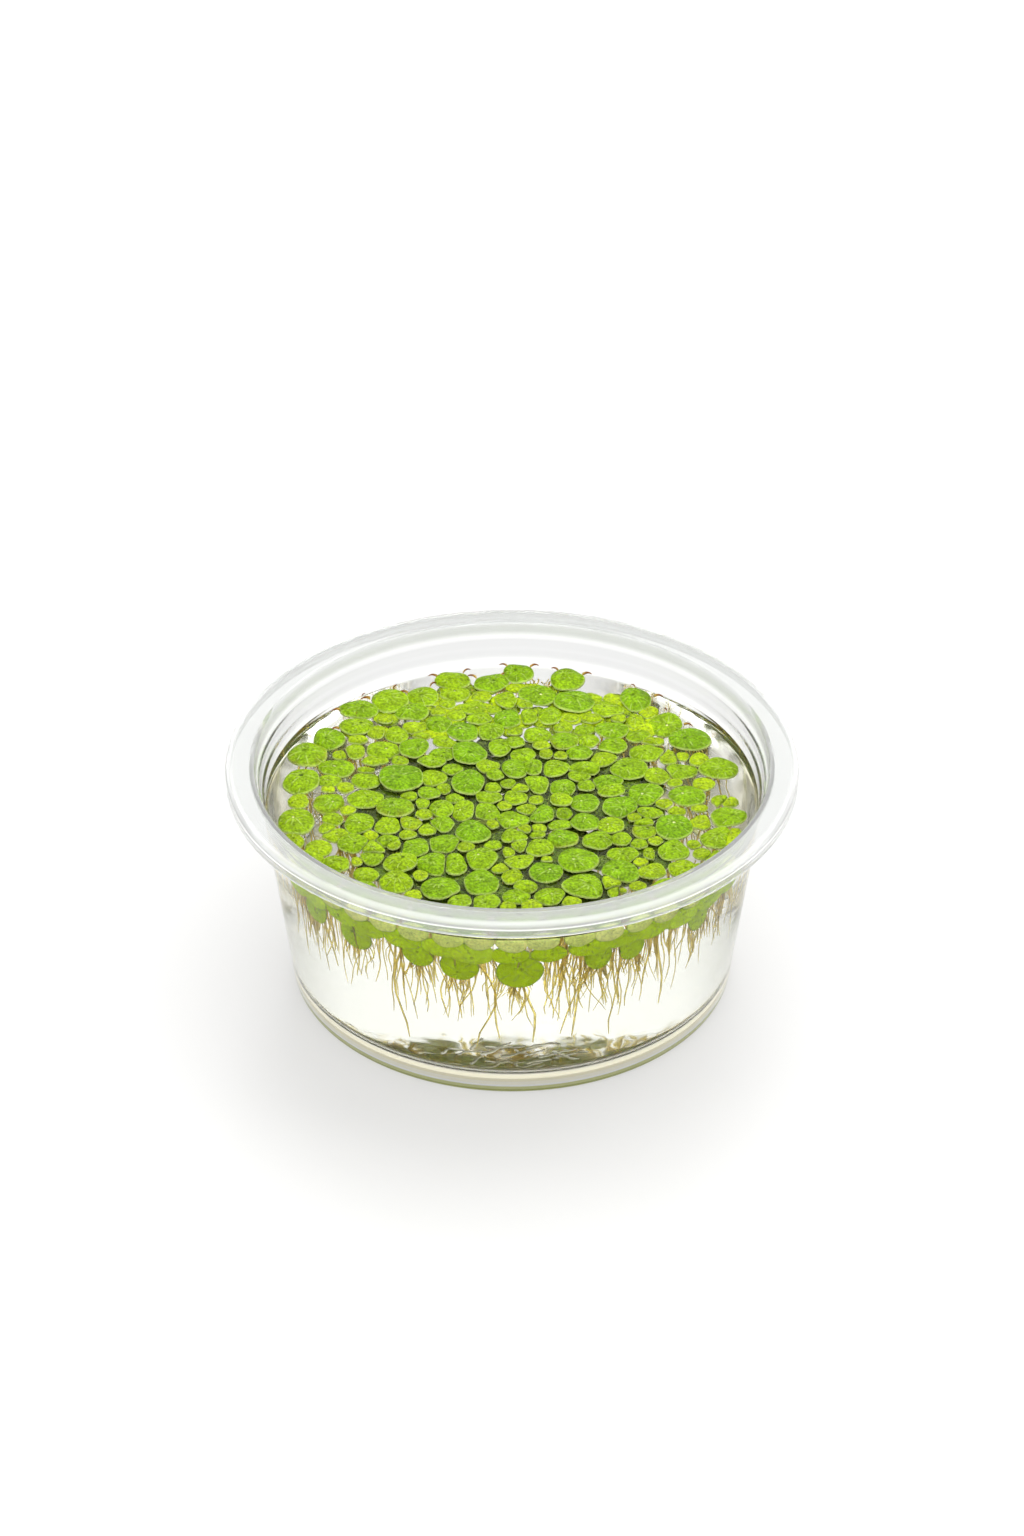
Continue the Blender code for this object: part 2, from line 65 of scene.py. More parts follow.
# Floating fronds as (x, y, width, depth), from the back to the front
FRONDS = [
    (0.9, 29.5, 4.2, 5.0), (7.6, 27.9, 4.6, 5.2), (-8.1, 27.9, 5.0, 4.0),
    (-3.1, 27.2, 4.5, 4.2), (-7.9, 24.3, 4.8, 3.6), (3.3, 24.2, 5.0, 5.6),
    (-12.0, 23.9, 4.6, 4.8), (-4.2, 23.8, 2.8, 2.8), (-0.8, 23.1, 3.0, 4.5),
    (16.9, 22.9, 4.2, 6.2), (-16.6, 22.6, 5.2, 6.0), (8.5, 22.2, 5.8, 6.0),
    (-5.2, 21.0, 4.0, 4.0), (13.1, 20.7, 4.6, 4.6), (-13.5, 19.9, 5.0, 4.0),
    (-20.8, 20.6, 5.5, 4.6), (5.1, 19.0, 3.6, 5.0), (10.8, 18.3, 3.0, 2.4),
    (-0.6, 18.1, 4.2, 4.6), (-4.5, 17.9, 4.0, 3.0), (16.7, 17.6, 2.6, 4.4),
    (2.3, 18.5, 2.6, 4.4), (20.6, 16.8, 4.8, 5.6), (-9.9, 16.8, 3.6, 4.4),
    (-21.0, 16.2, 5.0, 4.4), (-13.5, 16.0, 3.0, 3.0), (-2.9, 15.2, 4.0, 4.0),
    (7.0, 15.8, 2.8, 3.0), (9.5, 15.4, 2.6, 2.8), (-6.5, 15.2, 5.0, 5.0),
    (13.5, 15.1, 5.0, 4.2), (-18.3, 15.0, 2.6, 3.0), (-15.6, 14.7, 3.4, 4.0),
    (3.3, 14.3, 3.8, 4.0), (17.0, 14.0, 3.6, 3.0), (-24.5, 13.2, 4.3, 5.6),
    (23.9, 12.9, 6.0, 5.4), (7.0, 12.6, 4.2, 5.0), (10.4, 12.9, 3.0, 3.4),
    (-9.2, 12.7, 3.0, 3.0), (0.4, 12.2, 2.8, 3.0), (13.5, 11.5, 4.2, 3.6),
    (-1.6, 11.2, 3.2, 4.6), (-13.1, 10.8, 4.4, 5.2), (18.1, 10.1, 5.0, 4.4),
    (-9.5, 9.6, 4.0, 3.2), (-17.4, 10.3, 4.6, 4.8), (-21.0, 9.9, 3.0, 4.0),
    (9.0, 9.9, 4.0, 3.6), (1.5, 9.5, 3.6, 3.0), (20.9, 8.6, 2.6, 3.6),
    (-5.8, 9.7, 5.0, 5.6), (-27.2, 9.2, 5.2, 6.2), (12.4, 8.6, 3.4, 3.6),
    (24.9, 8.2, 2.8, 3.2), (2.9, 6.5, 2.8, 4.0), (27.4, 5.9, 5.2, 5.0),
    (5.6, 6.3, 3.6, 4.2), (15.6, 6.0, 5.2, 5.4), (0.2, 6.0, 4.0, 4.6),
    (9.5, 5.8, 4.2, 3.8), (-23.1, 6.0, 4.8, 3.8), (22.0, 5.4, 3.4, 4.0),
    (-2.9, 6.3, 3.2, 3.0), (19.5, 4.3, 3.8, 4.2), (-10.3, 3.8, 3.6, 4.2),
    (-14.6, 3.6, 6.6, 6.6), (-19.4, 3.0, 4.2, 3.6), (-24.0, 3.0, 3.2, 3.0),
    (-27.8, 2.9, 4.8, 6.2), (-5.8, 2.4, 4.8, 6.0), (12.4, 2.6, 4.4, 3.4),
    (25.4, 2.6, 3.0, 3.2), (3.5, 2.2, 3.0, 4.0), (6.7, 1.7, 3.8, 3.6),
    (17.6, 0.2, 5.0, 5.4), (23.0, -0.6, 5.2, 5.4), (-19.5, -0.9, 5.0, 4.4),
    (-2.8, -0.9, 3.6, 2.8), (6.5, -1.5, 3.0, 3.0), (9.6, -2.0, 4.0, 4.2),
    (27.6, -1.4, 3.0, 2.6), (-28.0, -1.9, 2.8, 3.0), (-24.0, -2.2, 4.4, 5.2),
    (14.1, -3.1, 4.8, 5.4), (-9.3, -3.4, 3.6, 4.0), (-15.2, -3.4, 5.4, 4.8),
    (-6.3, -3.8, 3.2, 4.6), (-3.3, -4.0, 3.6, 3.8), (18.1, -4.3, 4.2, 2.4),
    (4.0, -4.7, 3.2, 4.8), (28.1, -5.6, 4.8, 5.0), (0.1, -5.9, 4.6, 4.4),
    (-23.3, -6.0, 3.0, 3.0), (-28.0, -6.8, 4.8, 6.2), (24.7, -6.6, 2.6, 3.0),
    (-12.9, -7.1, 3.0, 3.0), (-9.2, -7.0, 3.4, 3.4), (9.5, -6.8, 4.0, 4.2),
    (12.9, -7.3, 3.4, 3.6), (-19.9, -6.6, 4.4, 4.4), (-16.3, -7.6, 3.6, 3.2),
    (6.0, -7.2, 3.0, 2.6), (20.9, -7.8, 5.2, 5.8), (17.2, -8.4, 3.2, 4.6),
    (-5.0, -9.0, 4.8, 5.6), (-23.0, -9.4, 3.6, 3.4), (6.6, -10.0, 4.4, 4.2),
    (0.4, -9.9, 3.6, 4.2), (14.2, -10.4, 2.8, 3.0), (3.5, -12.4, 4.0, 4.0),
    (11.0, -10.8, 4.0, 3.8), (26.3, -10.6, 4.2, 4.6), (-8.9, -11.5, 4.2, 4.0),
    (-15.9, -11.2, 3.6, 3.6), (-12.4, -12.0, 4.0, 4.0), (-24.9, -12.4, 3.6, 4.0),
    (-20.3, -11.6, 4.6, 4.2), (20.9, -13.0, 4.6, 4.4), (24.5, -13.8, 2.8, 2.8),
    (-18.0, -14.6, 3.4, 3.2), (-3.9, -15.0, 4.4, 4.8), (14.4, -13.8, 4.6, 3.4),
    (8.5, -15.2, 5.6, 5.8), (0.7, -15.4, 3.8, 3.2), (-22.4, -15.9, 3.4, 3.6),
    (-14.4, -15.9, 4.8, 4.2), (-9.9, -16.0, 4.4, 5.4), (4.3, -17.6, 4.4, 5.0),
    (21.9, -17.0, 4.2, 3.6), (-18.6, -18.3, 3.4, 3.0), (18.1, -17.6, 3.4, 3.8),
    (13.9, -17.9, 5.0, 5.4), (0.0, -18.9, 2.8, 3.6), (-14.7, -20.2, 4.6, 4.4),
    (-3.9, -20.3, 4.6, 5.2), (9.2, -21.2, 5.8, 5.4), (-9.2, -21.6, 5.4, 5.0),
    (13.3, -21.9, 2.6, 3.4), (0.6, -23.2, 4.0, 3.6), (4.6, -23.3, 4.2, 3.8),
    (-3.2, -24.3, 4.0, 3.2),
]

# Fronds of the front rows, which the rim hides from above but which show through the wall
FRONT_FRONDS = [
    (-28.4, -11.2, 3.2, 4.0), (-26.2, -15.4, 4.2, 4.4), (-23.6, -19.2, 4.4, 4.6),
    (-19.3, -22.3, 4.8, 5.0), (-15.2, -25.1, 4.8, 5.0), (-10.8, -27.1, 5.0, 5.0),
    (-5.7, -28.3, 5.6, 5.2), (0.6, -28.9, 6.0, 5.2), (6.4, -28.0, 5.0, 5.2),
    (10.9, -27.0, 5.2, 5.0), (15.3, -24.9, 5.0, 5.2), (19.9, -21.6, 4.8, 5.0),
    (23.9, -18.3, 4.4, 4.6), (26.4, -15.0, 3.8, 4.2), (28.6, -11.2, 2.8, 3.6),
]

# Young fronds that float loose between the plants, as (x, y, width, depth)
LOOSE_FRONDS = [
    (-8.8, 21.8, 2.2, 3.0), (1.8, 21.6, 2.2, 2.0), (8.0, 18.3, 2.2, 1.6),
    (18.5, 19.2, 2.0, 2.0), (22.8, 9.0, 2.0, 2.0), (-17.2, 17.8, 2.2, 1.8),
    (-12.2, 14.0, 2.6, 1.6), (-20.7, 12.8, 2.8, 2.2), (-23.0, 9.3, 2.2, 2.0),
    (-18.2, 7.8, 4.4, 2.2), (-10.5, 7.7, 4.6, 3.0), (-19.4, 5.6, 2.6, 1.4),
    (-24.2, 1.0, 2.0, 1.6), (-9.0, 1.3, 2.0, 2.5), (-2.2, 4.7, 2.5, 3.5),
    (0.4, 14.9, 2.4, 2.0), (4.6, 9.5, 2.0, 2.2), (18.8, 12.4, 3.6, 2.0),
    (9.0, 4.2, 3.4, 2.6), (9.9, 1.7, 2.8, 2.4), (13.1, 0.6, 4.0, 3.0),
    (-0.5, 2.2, 2.6, 2.0), (1.0, 1.3, 2.8, 2.0), (-11.7, -2.5, 2.0, 2.8),
    (-2.5, -7.3, 1.8, 1.8), (-24.0, -8.1, 2.4, 2.6), (-18.3, -9.7, 2.0, 2.6),
    (-11.0, -8.1, 3.0, 2.6), (-13.5, -9.5, 2.4, 2.4), (-15.4, -11.8, 2.4, 2.2),
    (-17.9, -12.7, 3.6, 3.2), (-19.9, -15.6, 1.6, 2.0), (-7.4, -16.1, 3.6, 5.2),
    (-2.5, -11.8, 2.4, 2.0), (-0.4, -13.4, 1.6, 2.6), (-11.7, -18.8, 2.0, 2.4),
    (3.1, -1.4, 2.2, 2.0), (2.0, -3.6, 3.2, 2.4), (6.8, -4.7, 2.2, 3.0),
    (16.0, -5.4, 2.0, 2.0), (24.5, -3.6, 2.4, 1.6), (28.3, -1.8, 3.0, 2.4),
    (17.2, -7.0, 2.8, 2.6), (1.7, -8.4, 2.0, 2.0), (3.3, -9.4, 2.4, 1.4),
    (1.0, -11.8, 2.2, 3.2), (17.6, -13.8, 1.6, 4.0), (23.5, -11.6, 2.0, 2.2),
    (4.5, -15.2, 1.6, 1.2), (1.7, -21.1, 3.0, 3.6), (12.6, -20.5, 2.6, 4.0),
    (13.8, -21.9, 1.6, 1.2), (16.0, -20.9, 2.4, 2.0),
]

# Fronds pushed under along the front wall as (x, level of the middle, width, height)
SUNKEN_FRONDS = [
    (-24.6, 21.8, 4.2, 3.8), (-19.6, 21.6, 5.0, 4.4), (-11.8, 21.8, 4.4, 3.4),
    (-6.6, 21.0, 4.8, 3.9), (1.0, 20.6, 5.8, 4.4), (10.8, 21.8, 3.6, 3.8),
    (15.0, 21.8, 3.6, 3.6), (23.4, 21.8, 3.6, 4.2),
]

# Fronds that hang under the back of the mat as (turn in degrees, level, width, height)
HANGING_FRONDS = [(-7.5, 24.6, 3.0, 1.6), (0.8, 24.3, 3.4, 1.8), (8.6, 24.7, 2.6, 1.5)]

# The longest roots as (x, y, level of the tip)
LONG_ROOTS = [
    (-12.4, -27.0, 7.2), (-5.4, -20.6, 6.6), (-0.8, -20.4, 6.4), (1.0, -28.0, 7.4),
    (8.0, -20.6, 6.0), (11.8, -26.0, 7.6), (-20.0, -12.0, 11.0), (20.0, -13.0, 11.6),
]

# Single long roots that trail from the crowded fronds at the front, in the same way
CROWDED_ROOTS = [
    (-12.6, -27.2, 7.2), (-5.7, -28.4, 7.6), (8.4, -28.2, 7.4), (11.9, -26.6, 7.8),
    (-0.8, -28.8, 9.0), (17.4, -24.0, 10.0),
]

# Root ends that have dropped to the floor of the tub, as (x, y, length, turn in degrees)
FALLEN_ROOTS = [
    (-8.6, -24.7, 4.0, 12), (-6.5, -24.8, 4.6, 40), (-3.6, -24.2, 4.0, 34),
    (-1.2, -25.0, 5.0, 28), (1.6, -24.8, 4.6, 60), (3.4, -25.3, 4.2, 18),
    (5.0, -23.6, 3.6, -35), (5.4, -25.4, 4.0, 8), (-4.8, -22.4, 3.6, 70),
    (0.4, -22.6, 3.0, -50), (-3.0, -21.6, 4.0, -12), (1.8, -22.0, 4.4, 20),
]

# The models of the fronds as (name, sides, (width, rise) of each inset of the top). The last is
# the young frond. Then the sides and the steps of the model of the root.
LARGE_SIDES = 22
YOUNG_SIDES = 14
FROND_MODELS = [
    ("frond model", LARGE_SIDES, (
        (0.05, 0.06), (0.13, 0.04), (0.2, 0.03), (0.22, 0.0), (0.2, 0.0), (0.07, -0.05),
        (0.04, -0.22))),
    ("creased frond model", LARGE_SIDES, (
        (0.06, 0.08), (0.16, 0.0), (0.16, 0.05), (0.24, -0.05), (0.18, -0.02), (0.08, -0.16),
        (0.03, -0.1))),
    ("cupped frond model", LARGE_SIDES, (
        (0.04, 0.08), (0.1, 0.02), (0.24, -0.06), (0.22, -0.03), (0.2, 0.0), (0.08, -0.12),
        (0.03, -0.14))),
    ("young frond model", YOUNG_SIDES, ((0.08, 0.08), (0.3, 0.04), (0.35, -0.03))),
]
ROOT_SIDES = 4
ROOT_STEPS = 8

# Two rows of fronds pressed to the front wall, pale ones over bright ones: the pale colour is
# painted reflection and the bright one painted light. For each: how many stand to either side,
# degrees between them, their unevenness, level, lowest and highest shift of it, narrowest and
# widest frond, height for its width, distance out, age and light, roots to a frond
PRESSED_ROWS = [
    (8, 7.6, 0.7, 25.85, -0.1, 0.15, 3.6, 4.4, 0.6, 31.75, 2.9, 0),
    (7, 8.6, 1.2, 24.0, -0.25, 0.25, 4.6, 6.2, 0.5, 31.3, 2.1, 8),
]

# How plants are made up: the most of them, how far apart their mothers are, the most young
# fronds that join one mother, and the widest gap that they join over
MOST_PLANTS = 54
MOTHER_SPACING = 5.7
MOST_YOUNG = 3
JOIN_GAP = 1.1

# How much wider than in the table a frond's oval is, and where it has the room to grow. How far
# apart fronds still shape each other, and how sharp the corners between them are.
OVAL_SPREAD = 1.04
FROND_SPREAD = 1.12
SHAPING_REACH = 9.0
SHARPNESS = 9.0

# The width times the depth under which a frond is copied from the young one, and the width and
# depth together from which its folds are full
YOUNG_AREA = 9.5
FULL_SIZE = 9.0

# The waves of a frond's edge as (number, size), and those of its level on the way round
EDGE_WAVES = ((2, 0.035), (3, 0.035), (5, 0.012))
LEVEL_WAVES = (2, 4)

# The waves along a root
ROOT_WAVES = (1.0, 2.3, 4.1)

# A sunken frond's distance out at its lowest level, and how far it leans in on the way up. Its
# stalk meets the floating fronds at the last two, a level and a distance out.
SUNKEN_REACH = 30.75
SUNKEN_LOW = 18.4
SUNKEN_LEAN = 0.13
STALK_LEVEL = 26.5
STALK_REACH = 30.85

# How far out from the middle roots may start and end and scales may lie, and how far the middle
# of a root stays from the wall
ROOT_START = 30.6
ROOT_END = 29.3
PRESSED_ROOT_END = 29.6
SCALE_END = 31.9
ROOT_CLEARANCE = 0.5

# How close a long root starts to its plant, the lowest and highest level of a young frond's
# roots, and the roots of a plant at the front, which is past a line, and of any other
ROOT_NEAR = 2.4
YOUNG_TIPS = (13.0, 24.6)
FRONT_LINE = -8.0
FRONT_ROOTS = 16
OTHER_ROOTS = 10

# Fronds with brown scales lie past this line, and further from the middle than this
SCALE_LINE = 14.0
SCALE_RING = 26.5

# Where the crowd has pushed fronds under: dark ones inside a circle as (x, y, radius), their dark
# colour painted shade, and a share of bright ones inside a circle about the middle
DARK_SHADE_PATCH = (0.0, -6.5, 20.5)
BRIGHT_RADIUS = 27.6
BRIGHT_SHARE = 0.85

# Strips of the plastic's tint and milkiness, each as where it starts, is full, starts to fade and
# is gone. A strip is a range of levels, or of distances away from the middle. The lip and the two
# lines are painted highlights, the foot a painted reflection of the plants, and the band their
# green, painted as refracted through the bottom edge.
RIM_LEVELS = (30.4, 31.2)
UPPER_LEVELS = (27.4, 27.9, 30.2, 30.4)
LIP_HIGHLIGHT_LEVELS = (31.9, 32.2)
LIP_HIGHLIGHT_AWAY = (36.4, 36.9)
LOW_HIGHLIGHT_LEVELS = (30.4, 30.45, 30.66, 30.74)
HIGH_HIGHLIGHT_LEVELS = (31.6, 31.68, 31.82, 31.9)
HIGHLIGHT_LINE_AWAY = (36.7, 36.95)
FOOT_REFLECTION_LEVELS = (1.45, 1.6, 3.0, 4.2)
FOOT_REFLECTION_AWAY = (25.5, 27.5)
BAND_REFRACTION_LEVELS = (0.08, 0.12, 0.62, 0.75)
RING_LEVELS = (2.5, 2.7, 3.4, 3.7)
RING_AWAY = (27.3, 27.9)

# The small roundings of the tub's corners, and how close to them its long lines are held flat
CORNER = 0.18 * MM
HOLD = 0.12 * MM


def length(name, description, default):
    """A size in metres."""
    return FloatProperty(name=name, description=description, default=default, unit="LENGTH")


def amount(name, description, default, **limits):
    """A plain number."""
    return FloatProperty(name=name, description=description, default=default, **limits)


def tint(name, description, *default):
    """A colour of three numbers from 0 to 1."""
    return FloatVectorProperty(
        name=name, description=description, subtype="COLOR", default=default, min=0.0, max=1.0)


class TubSizes(PropertyGroup):
    """Sizes and finish of the clear tub."""

    height: length("Height", "From the ground to the top of the rim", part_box("tub")[1][2])
    rim_radius: length("Rim radius", "Radius over the skirt of the rim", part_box("tub")[1][0])
    mouth_radius: length("Mouth radius", "Radius of the opening at the rim", 0.0339)
    foot_radius: length("Foot radius", "Radius of the wall where it meets the ground", 0.0295)
    foot_width: length("Foot width", "Width of the ring that the tub stands on", 0.0012)
    wall_slope: amount("Wall slope", "How far the wall widens for its height", 0.1267)
    wall: length("Wall", "Thickness of the wall", 0.00055)
    sheet: length("Sheet", "Thickness of the rim, its skirt and the floor", 0.0006)
    skirt_drop: length("Skirt drop", "Height of the skirt under the rim", 0.0021)
    neck_drop: length("Neck drop", "Depth of the step under the mouth", 0.0018)
    shoulder_drop: length("Shoulder drop", "Depth at which the plain wall starts", 0.0025)
    ring_level: length("Ring level", "Level of the step round the wall under the rim", 0.0284)
    ring_step: length("Ring step", "How far the wall steps out above that level", 0.0003)
    floor_top: length("Floor level", "Level of the inside of the floor", 0.0033)
    floor_fillet: length("Floor fillet", "Rounding between the floor and the wall", 0.0012)
    steps: IntProperty(
        name="Steps", description="Steps of each turned shape", default=144, min=24)
    colour: tint("Plastic", "Tint of the clear plastic", 0.965, 0.972, 0.968)
    rim_colour: tint(
        "Rim", "Tint of the rim, where the plastic is less clear", 0.70, 0.71, 0.70)
    milky: amount("Milkiness", "How milky the rim is", 0.25, min=0.0, max=1.0)
    # Painted reflection: beige at the foot and floor's edge for the roots and fronds seen there
    foot_reflection_colour: tint("Foot", "Tint of the foot and the floor's edge", 0.94, 0.90, 0.70)
    # Painted refraction: olive green for the plants' colour seen through the bottom edge
    band_refraction_colour: tint(
        "Foot band", "Tint of the band just over the ground, which catches the plants' green",
        0.34, 0.37, 0.10)
    upper_colour: tint("Upper wall", "Tint of the wall over the water", 0.80, 0.805, 0.81)
    # Painted highlight: colour of the milky band round the rim's rounded outer edge
    lip_highlight_colour: tint("Lip", "Colour of the rounded outer edge of the rim", 0.78, 0.79, 0.78)
    # Painted highlights: colour of the two milky pale lines round the skirt
    skirt_highlight_colour: tint(
        "Skirt lines", "Colour of the two pale lines round the skirt", 0.97, 0.97, 0.96)
    # Painted highlight: how much milkier the rim's rounded outer edge is made
    lip_highlight_milkiness: amount(
        "Lip milkiness", "How much milkier the outer edge is", 0.12, min=0.0, max=0.7)
    bending: amount("Refraction", "Index of refraction of the plastic", 1.49)
    shine: tint("Shine", "Strength of the reflections seen straight on", 0.05, 0.05, 0.05)


class WaterSizes(PropertyGroup):
    """Sizes and finish of the water."""

    level: length("Level", "Level of the water away from the wall", 0.02645)
    climb: length("Climb", "How far the water climbs at the wall", 0.0005)
    climb_width: length(
        "Climb width", "How far from the wall the water starts to climb", 0.0010)
    contact: length("Contact", "How deep the water's skin lies in the plastic", 0.00012)
    colour: tint("Water", "Tint of the water", 0.90, 0.95, 0.86)
    density: amount("Tint density", "How quickly the water takes up light", 1.5)
    bending: amount("Refraction", "Index of refraction of the water", 1.333)


class PlantLook(PropertyGroup):
    """Sizes and colours of the duckweed."""

    thickness: length("Frond thickness", "Thickness of a frond at its edge", 0.00042)
    dome: length("Dome", "How far the middle of a large frond rises", 0.00042)
    float_level: length("Float level", "Level of the underside of the fronds", 0.02630)
    overlap: length(
        "Overlap", "How far the fronds of one plant slide over each other", 0.0005)
    gap: length("Gap", "Narrowest gap between fronds of different plants", 0.00012)
    reach: length("Reach", "Radius of the whole mat", 0.0317)
    root_width: length("Root width", "Thickness of a root", 0.00022)
    scale_width: length("Scale width", "Width of the brown scales", 0.00055)
    old_colour: tint("Old frond", "Colour of an old frond", 0.12, 0.235, 0.002)
    young_colour: tint("Young frond", "Colour of a young frond", 0.24, 0.33, 0.003)
    # Painted light: a much brighter copy of the frond colour, for the fronds pushed under water
    wet_painted_light_colour: tint(
        "Frond under water", "Colour of the fronds pushed under water", 0.66, 0.93, 0.002)
    # Painted reflection and light: near-white green for fronds on the front wall and hanging at
    # the back
    pale_painted_light_colour: tint(
        "Pale frond", "Colour of the small fronds against the wall", 0.97, 0.99, 0.38)
    # Painted shade: a dark colour for the fronds under the mat, which fill the gaps with shade
    deep_painted_shade_colour: tint(
        "Deep frond", "Colour of the dull fronds under the mat", 0.075, 0.090, 0.014)
    # Also painted round each frond's edge as a highlight
    vein_and_edge_light_colour: tint("Vein", "Colour of the veins", 0.42, 0.55, 0.13)
    node_colour: tint("Node", "Colour of the pit where the veins meet", 0.03, 0.055, 0.004)
    under_colour: tint("Underside", "Colour of the underside", 0.74, 0.80, 0.36)
    brown_colour: tint(
        "Wilted", "Colour of wilted edges and of the brown scales", 0.28, 0.10, 0.025)
    root_colour: tint("Root", "Colour of the roots near the fronds", 0.84, 0.67, 0.15)
    bleached_colour: tint(
        "Fallen root", "Colour of the root ends on the floor", 0.97, 0.95, 0.84)
    tip_colour: tint("Root tip", "Colour of the root tips", 0.90, 0.77, 0.27)


class StageSizes(PropertyGroup):
    """The ground, the light and the camera."""

    ground_radius: length("Ground radius", "Radius of the pale ground", 2.4)
    ground_colour: tint("Ground", "Colour of the ground", 0.25, 0.25, 0.247)
    glow: amount("Ground glow", "Light that the lit board gives from below", 0.50)
    sky: amount("Room light", "Strength of the even light of the room", 1.0)
    key_power: amount("Large light", "Power of the large light above", 18.0)
    side_power: amount("Side light", "Power of the two upright side lights", 2.2)
    camera_distance: length("Camera distance", "From the camera to what it looks at", 0.5)
    camera_height: amount(
        "Camera angle", "How far above level the camera stands", math.radians(33.61),
        unit="ROTATION")
    camera_aim: length("Camera aim", "Level that the camera looks at", 0.03081)
    lens: amount("Lens", "Length of the lens in mm", 89.4)


def deselect():
    """Leave edit mode and deselect everything, the CAD nodes among it."""
    if bpy.context.object and bpy.context.object.mode != "OBJECT":
        bpy.ops.object.mode_set(mode="OBJECT")
    bpy.ops.object.select_all(action="DESELECT")


def start_circle(name, sides, radius):
    """Add a filled circle, and go into edit mode with all of it selected."""
    deselect()
    bpy.ops.mesh.primitive_circle_add(vertices=sides, radius=radius, fill_type="NGON")
    item = bpy.context.object
    item.name = name
    bpy.ops.object.mode_set(mode="EDIT")
    bpy.ops.mesh.select_all(action="SELECT")
    return item


def extrude(rise, size):
    """Extrude the selected face up or down, and make it wider or narrower."""
    bpy.ops.mesh.extrude_region_move(TRANSFORM_OT_translate={"value": (0.0, 0.0, rise)})
    bpy.ops.transform.resize(value=(size, size, 1.0))


def turn_outward():
    """Turn every face outward, and leave edit mode."""
    bpy.ops.mesh.select_all(action="SELECT")
    bpy.ops.mesh.normals_make_consistent(inside=False)
    bpy.ops.object.mode_set(mode="OBJECT")


def spin_profile(name, points, steps, material):
    """Draw a profile of (radius, level) by extruding a point, and spin it about the Z axis."""
    deselect()
    bpy.ops.mesh.primitive_plane_add(size=MM)
    item = bpy.context.object
    bpy.ops.object.mode_set(mode="EDIT")
    bpy.ops.mesh.select_all(action="SELECT")
    bpy.ops.mesh.merge(type="CENTER")
    bpy.ops.transform.translate(value=(points[0][0], 0.0, points[0][1]))
    for first, second in zip(points, points[1:]):
        step = (second[0] - first[0], 0.0, second[1] - first[1])
        bpy.ops.mesh.extrude_vertices_move(TRANSFORM_OT_translate={"value": step})
    bpy.ops.mesh.select_all(action="SELECT")
    bpy.ops.mesh.spin(
        steps=steps, angle=2.0 * math.pi, center=(0.0, 0.0, 0.0), axis=(0.0, 0.0, 1.0))
    bpy.ops.mesh.select_all(action="SELECT")
    bpy.ops.mesh.remove_doubles(threshold=0.002 * MM)
    turn_outward()
    item.name = name
    item.data.name = name
    item.data.materials.append(material)
    deselect()
    item.select_set(True)
    bpy.context.view_layer.objects.active = item
    bpy.ops.object.shade_smooth_by_angle(angle=math.radians(35.0))
    return item


def arc(centre, radius, first, last):
    """Points on an arc in the profile's plane, at angles in degrees."""
    return [
        (centre[0] + radius * math.cos(angle), centre[1] + radius * math.sin(angle))
        for angle in np.radians(np.linspace(first, last, 6))
    ]


def rounded(points, radius):
    """Replace each inner corner of a profile with a small arc."""
    result = [points[0]]
    for before, corner, after in zip(points, points[1:], points[2:]):
        corner = np.array(corner)
        back = np.array(before) - corner
        ahead = np.array(after) - corner
        size = min(radius, 0.4 * np.linalg.norm(back), 0.4 * np.linalg.norm(ahead))
        start = corner + back / np.linalg.norm(back) * size
        end = corner + ahead / np.linalg.norm(ahead) * size
        for step in (0.0, 0.5, 1.0):
            point = (1 - step) ** 2 * start + 2 * step * (1 - step) * corner + step**2 * end
            result.append(tuple(point))
    result.append(points[-1])
    return result


def held(points, near):
    """Add a point close to each end of the long lines of a profile, so that they stay flat."""
    result = [points[0]]
    for before, after in zip(points, points[1:]):
        start, end = np.array(before), np.array(after)
        span = np.linalg.norm(end - start)
        if span > 5.0 * near:
            result.append(tuple(start + (end - start) * near / span))
            result.append(tuple(end + (start - end) * near / span))
        result.append(after)
    return result


def wall_radius(tub, level):
    """Radius of the outside of the plain wall at a level."""
    return tub.foot_radius + tub.wall_slope * level


def fillet_middle(tub):
    """The middle of the rounding between the floor and the wall, as (radius, level)."""
    level = tub.floor_top + tub.floor_fillet
    return wall_radius(tub, level) - tub.wall - tub.floor_fillet, level


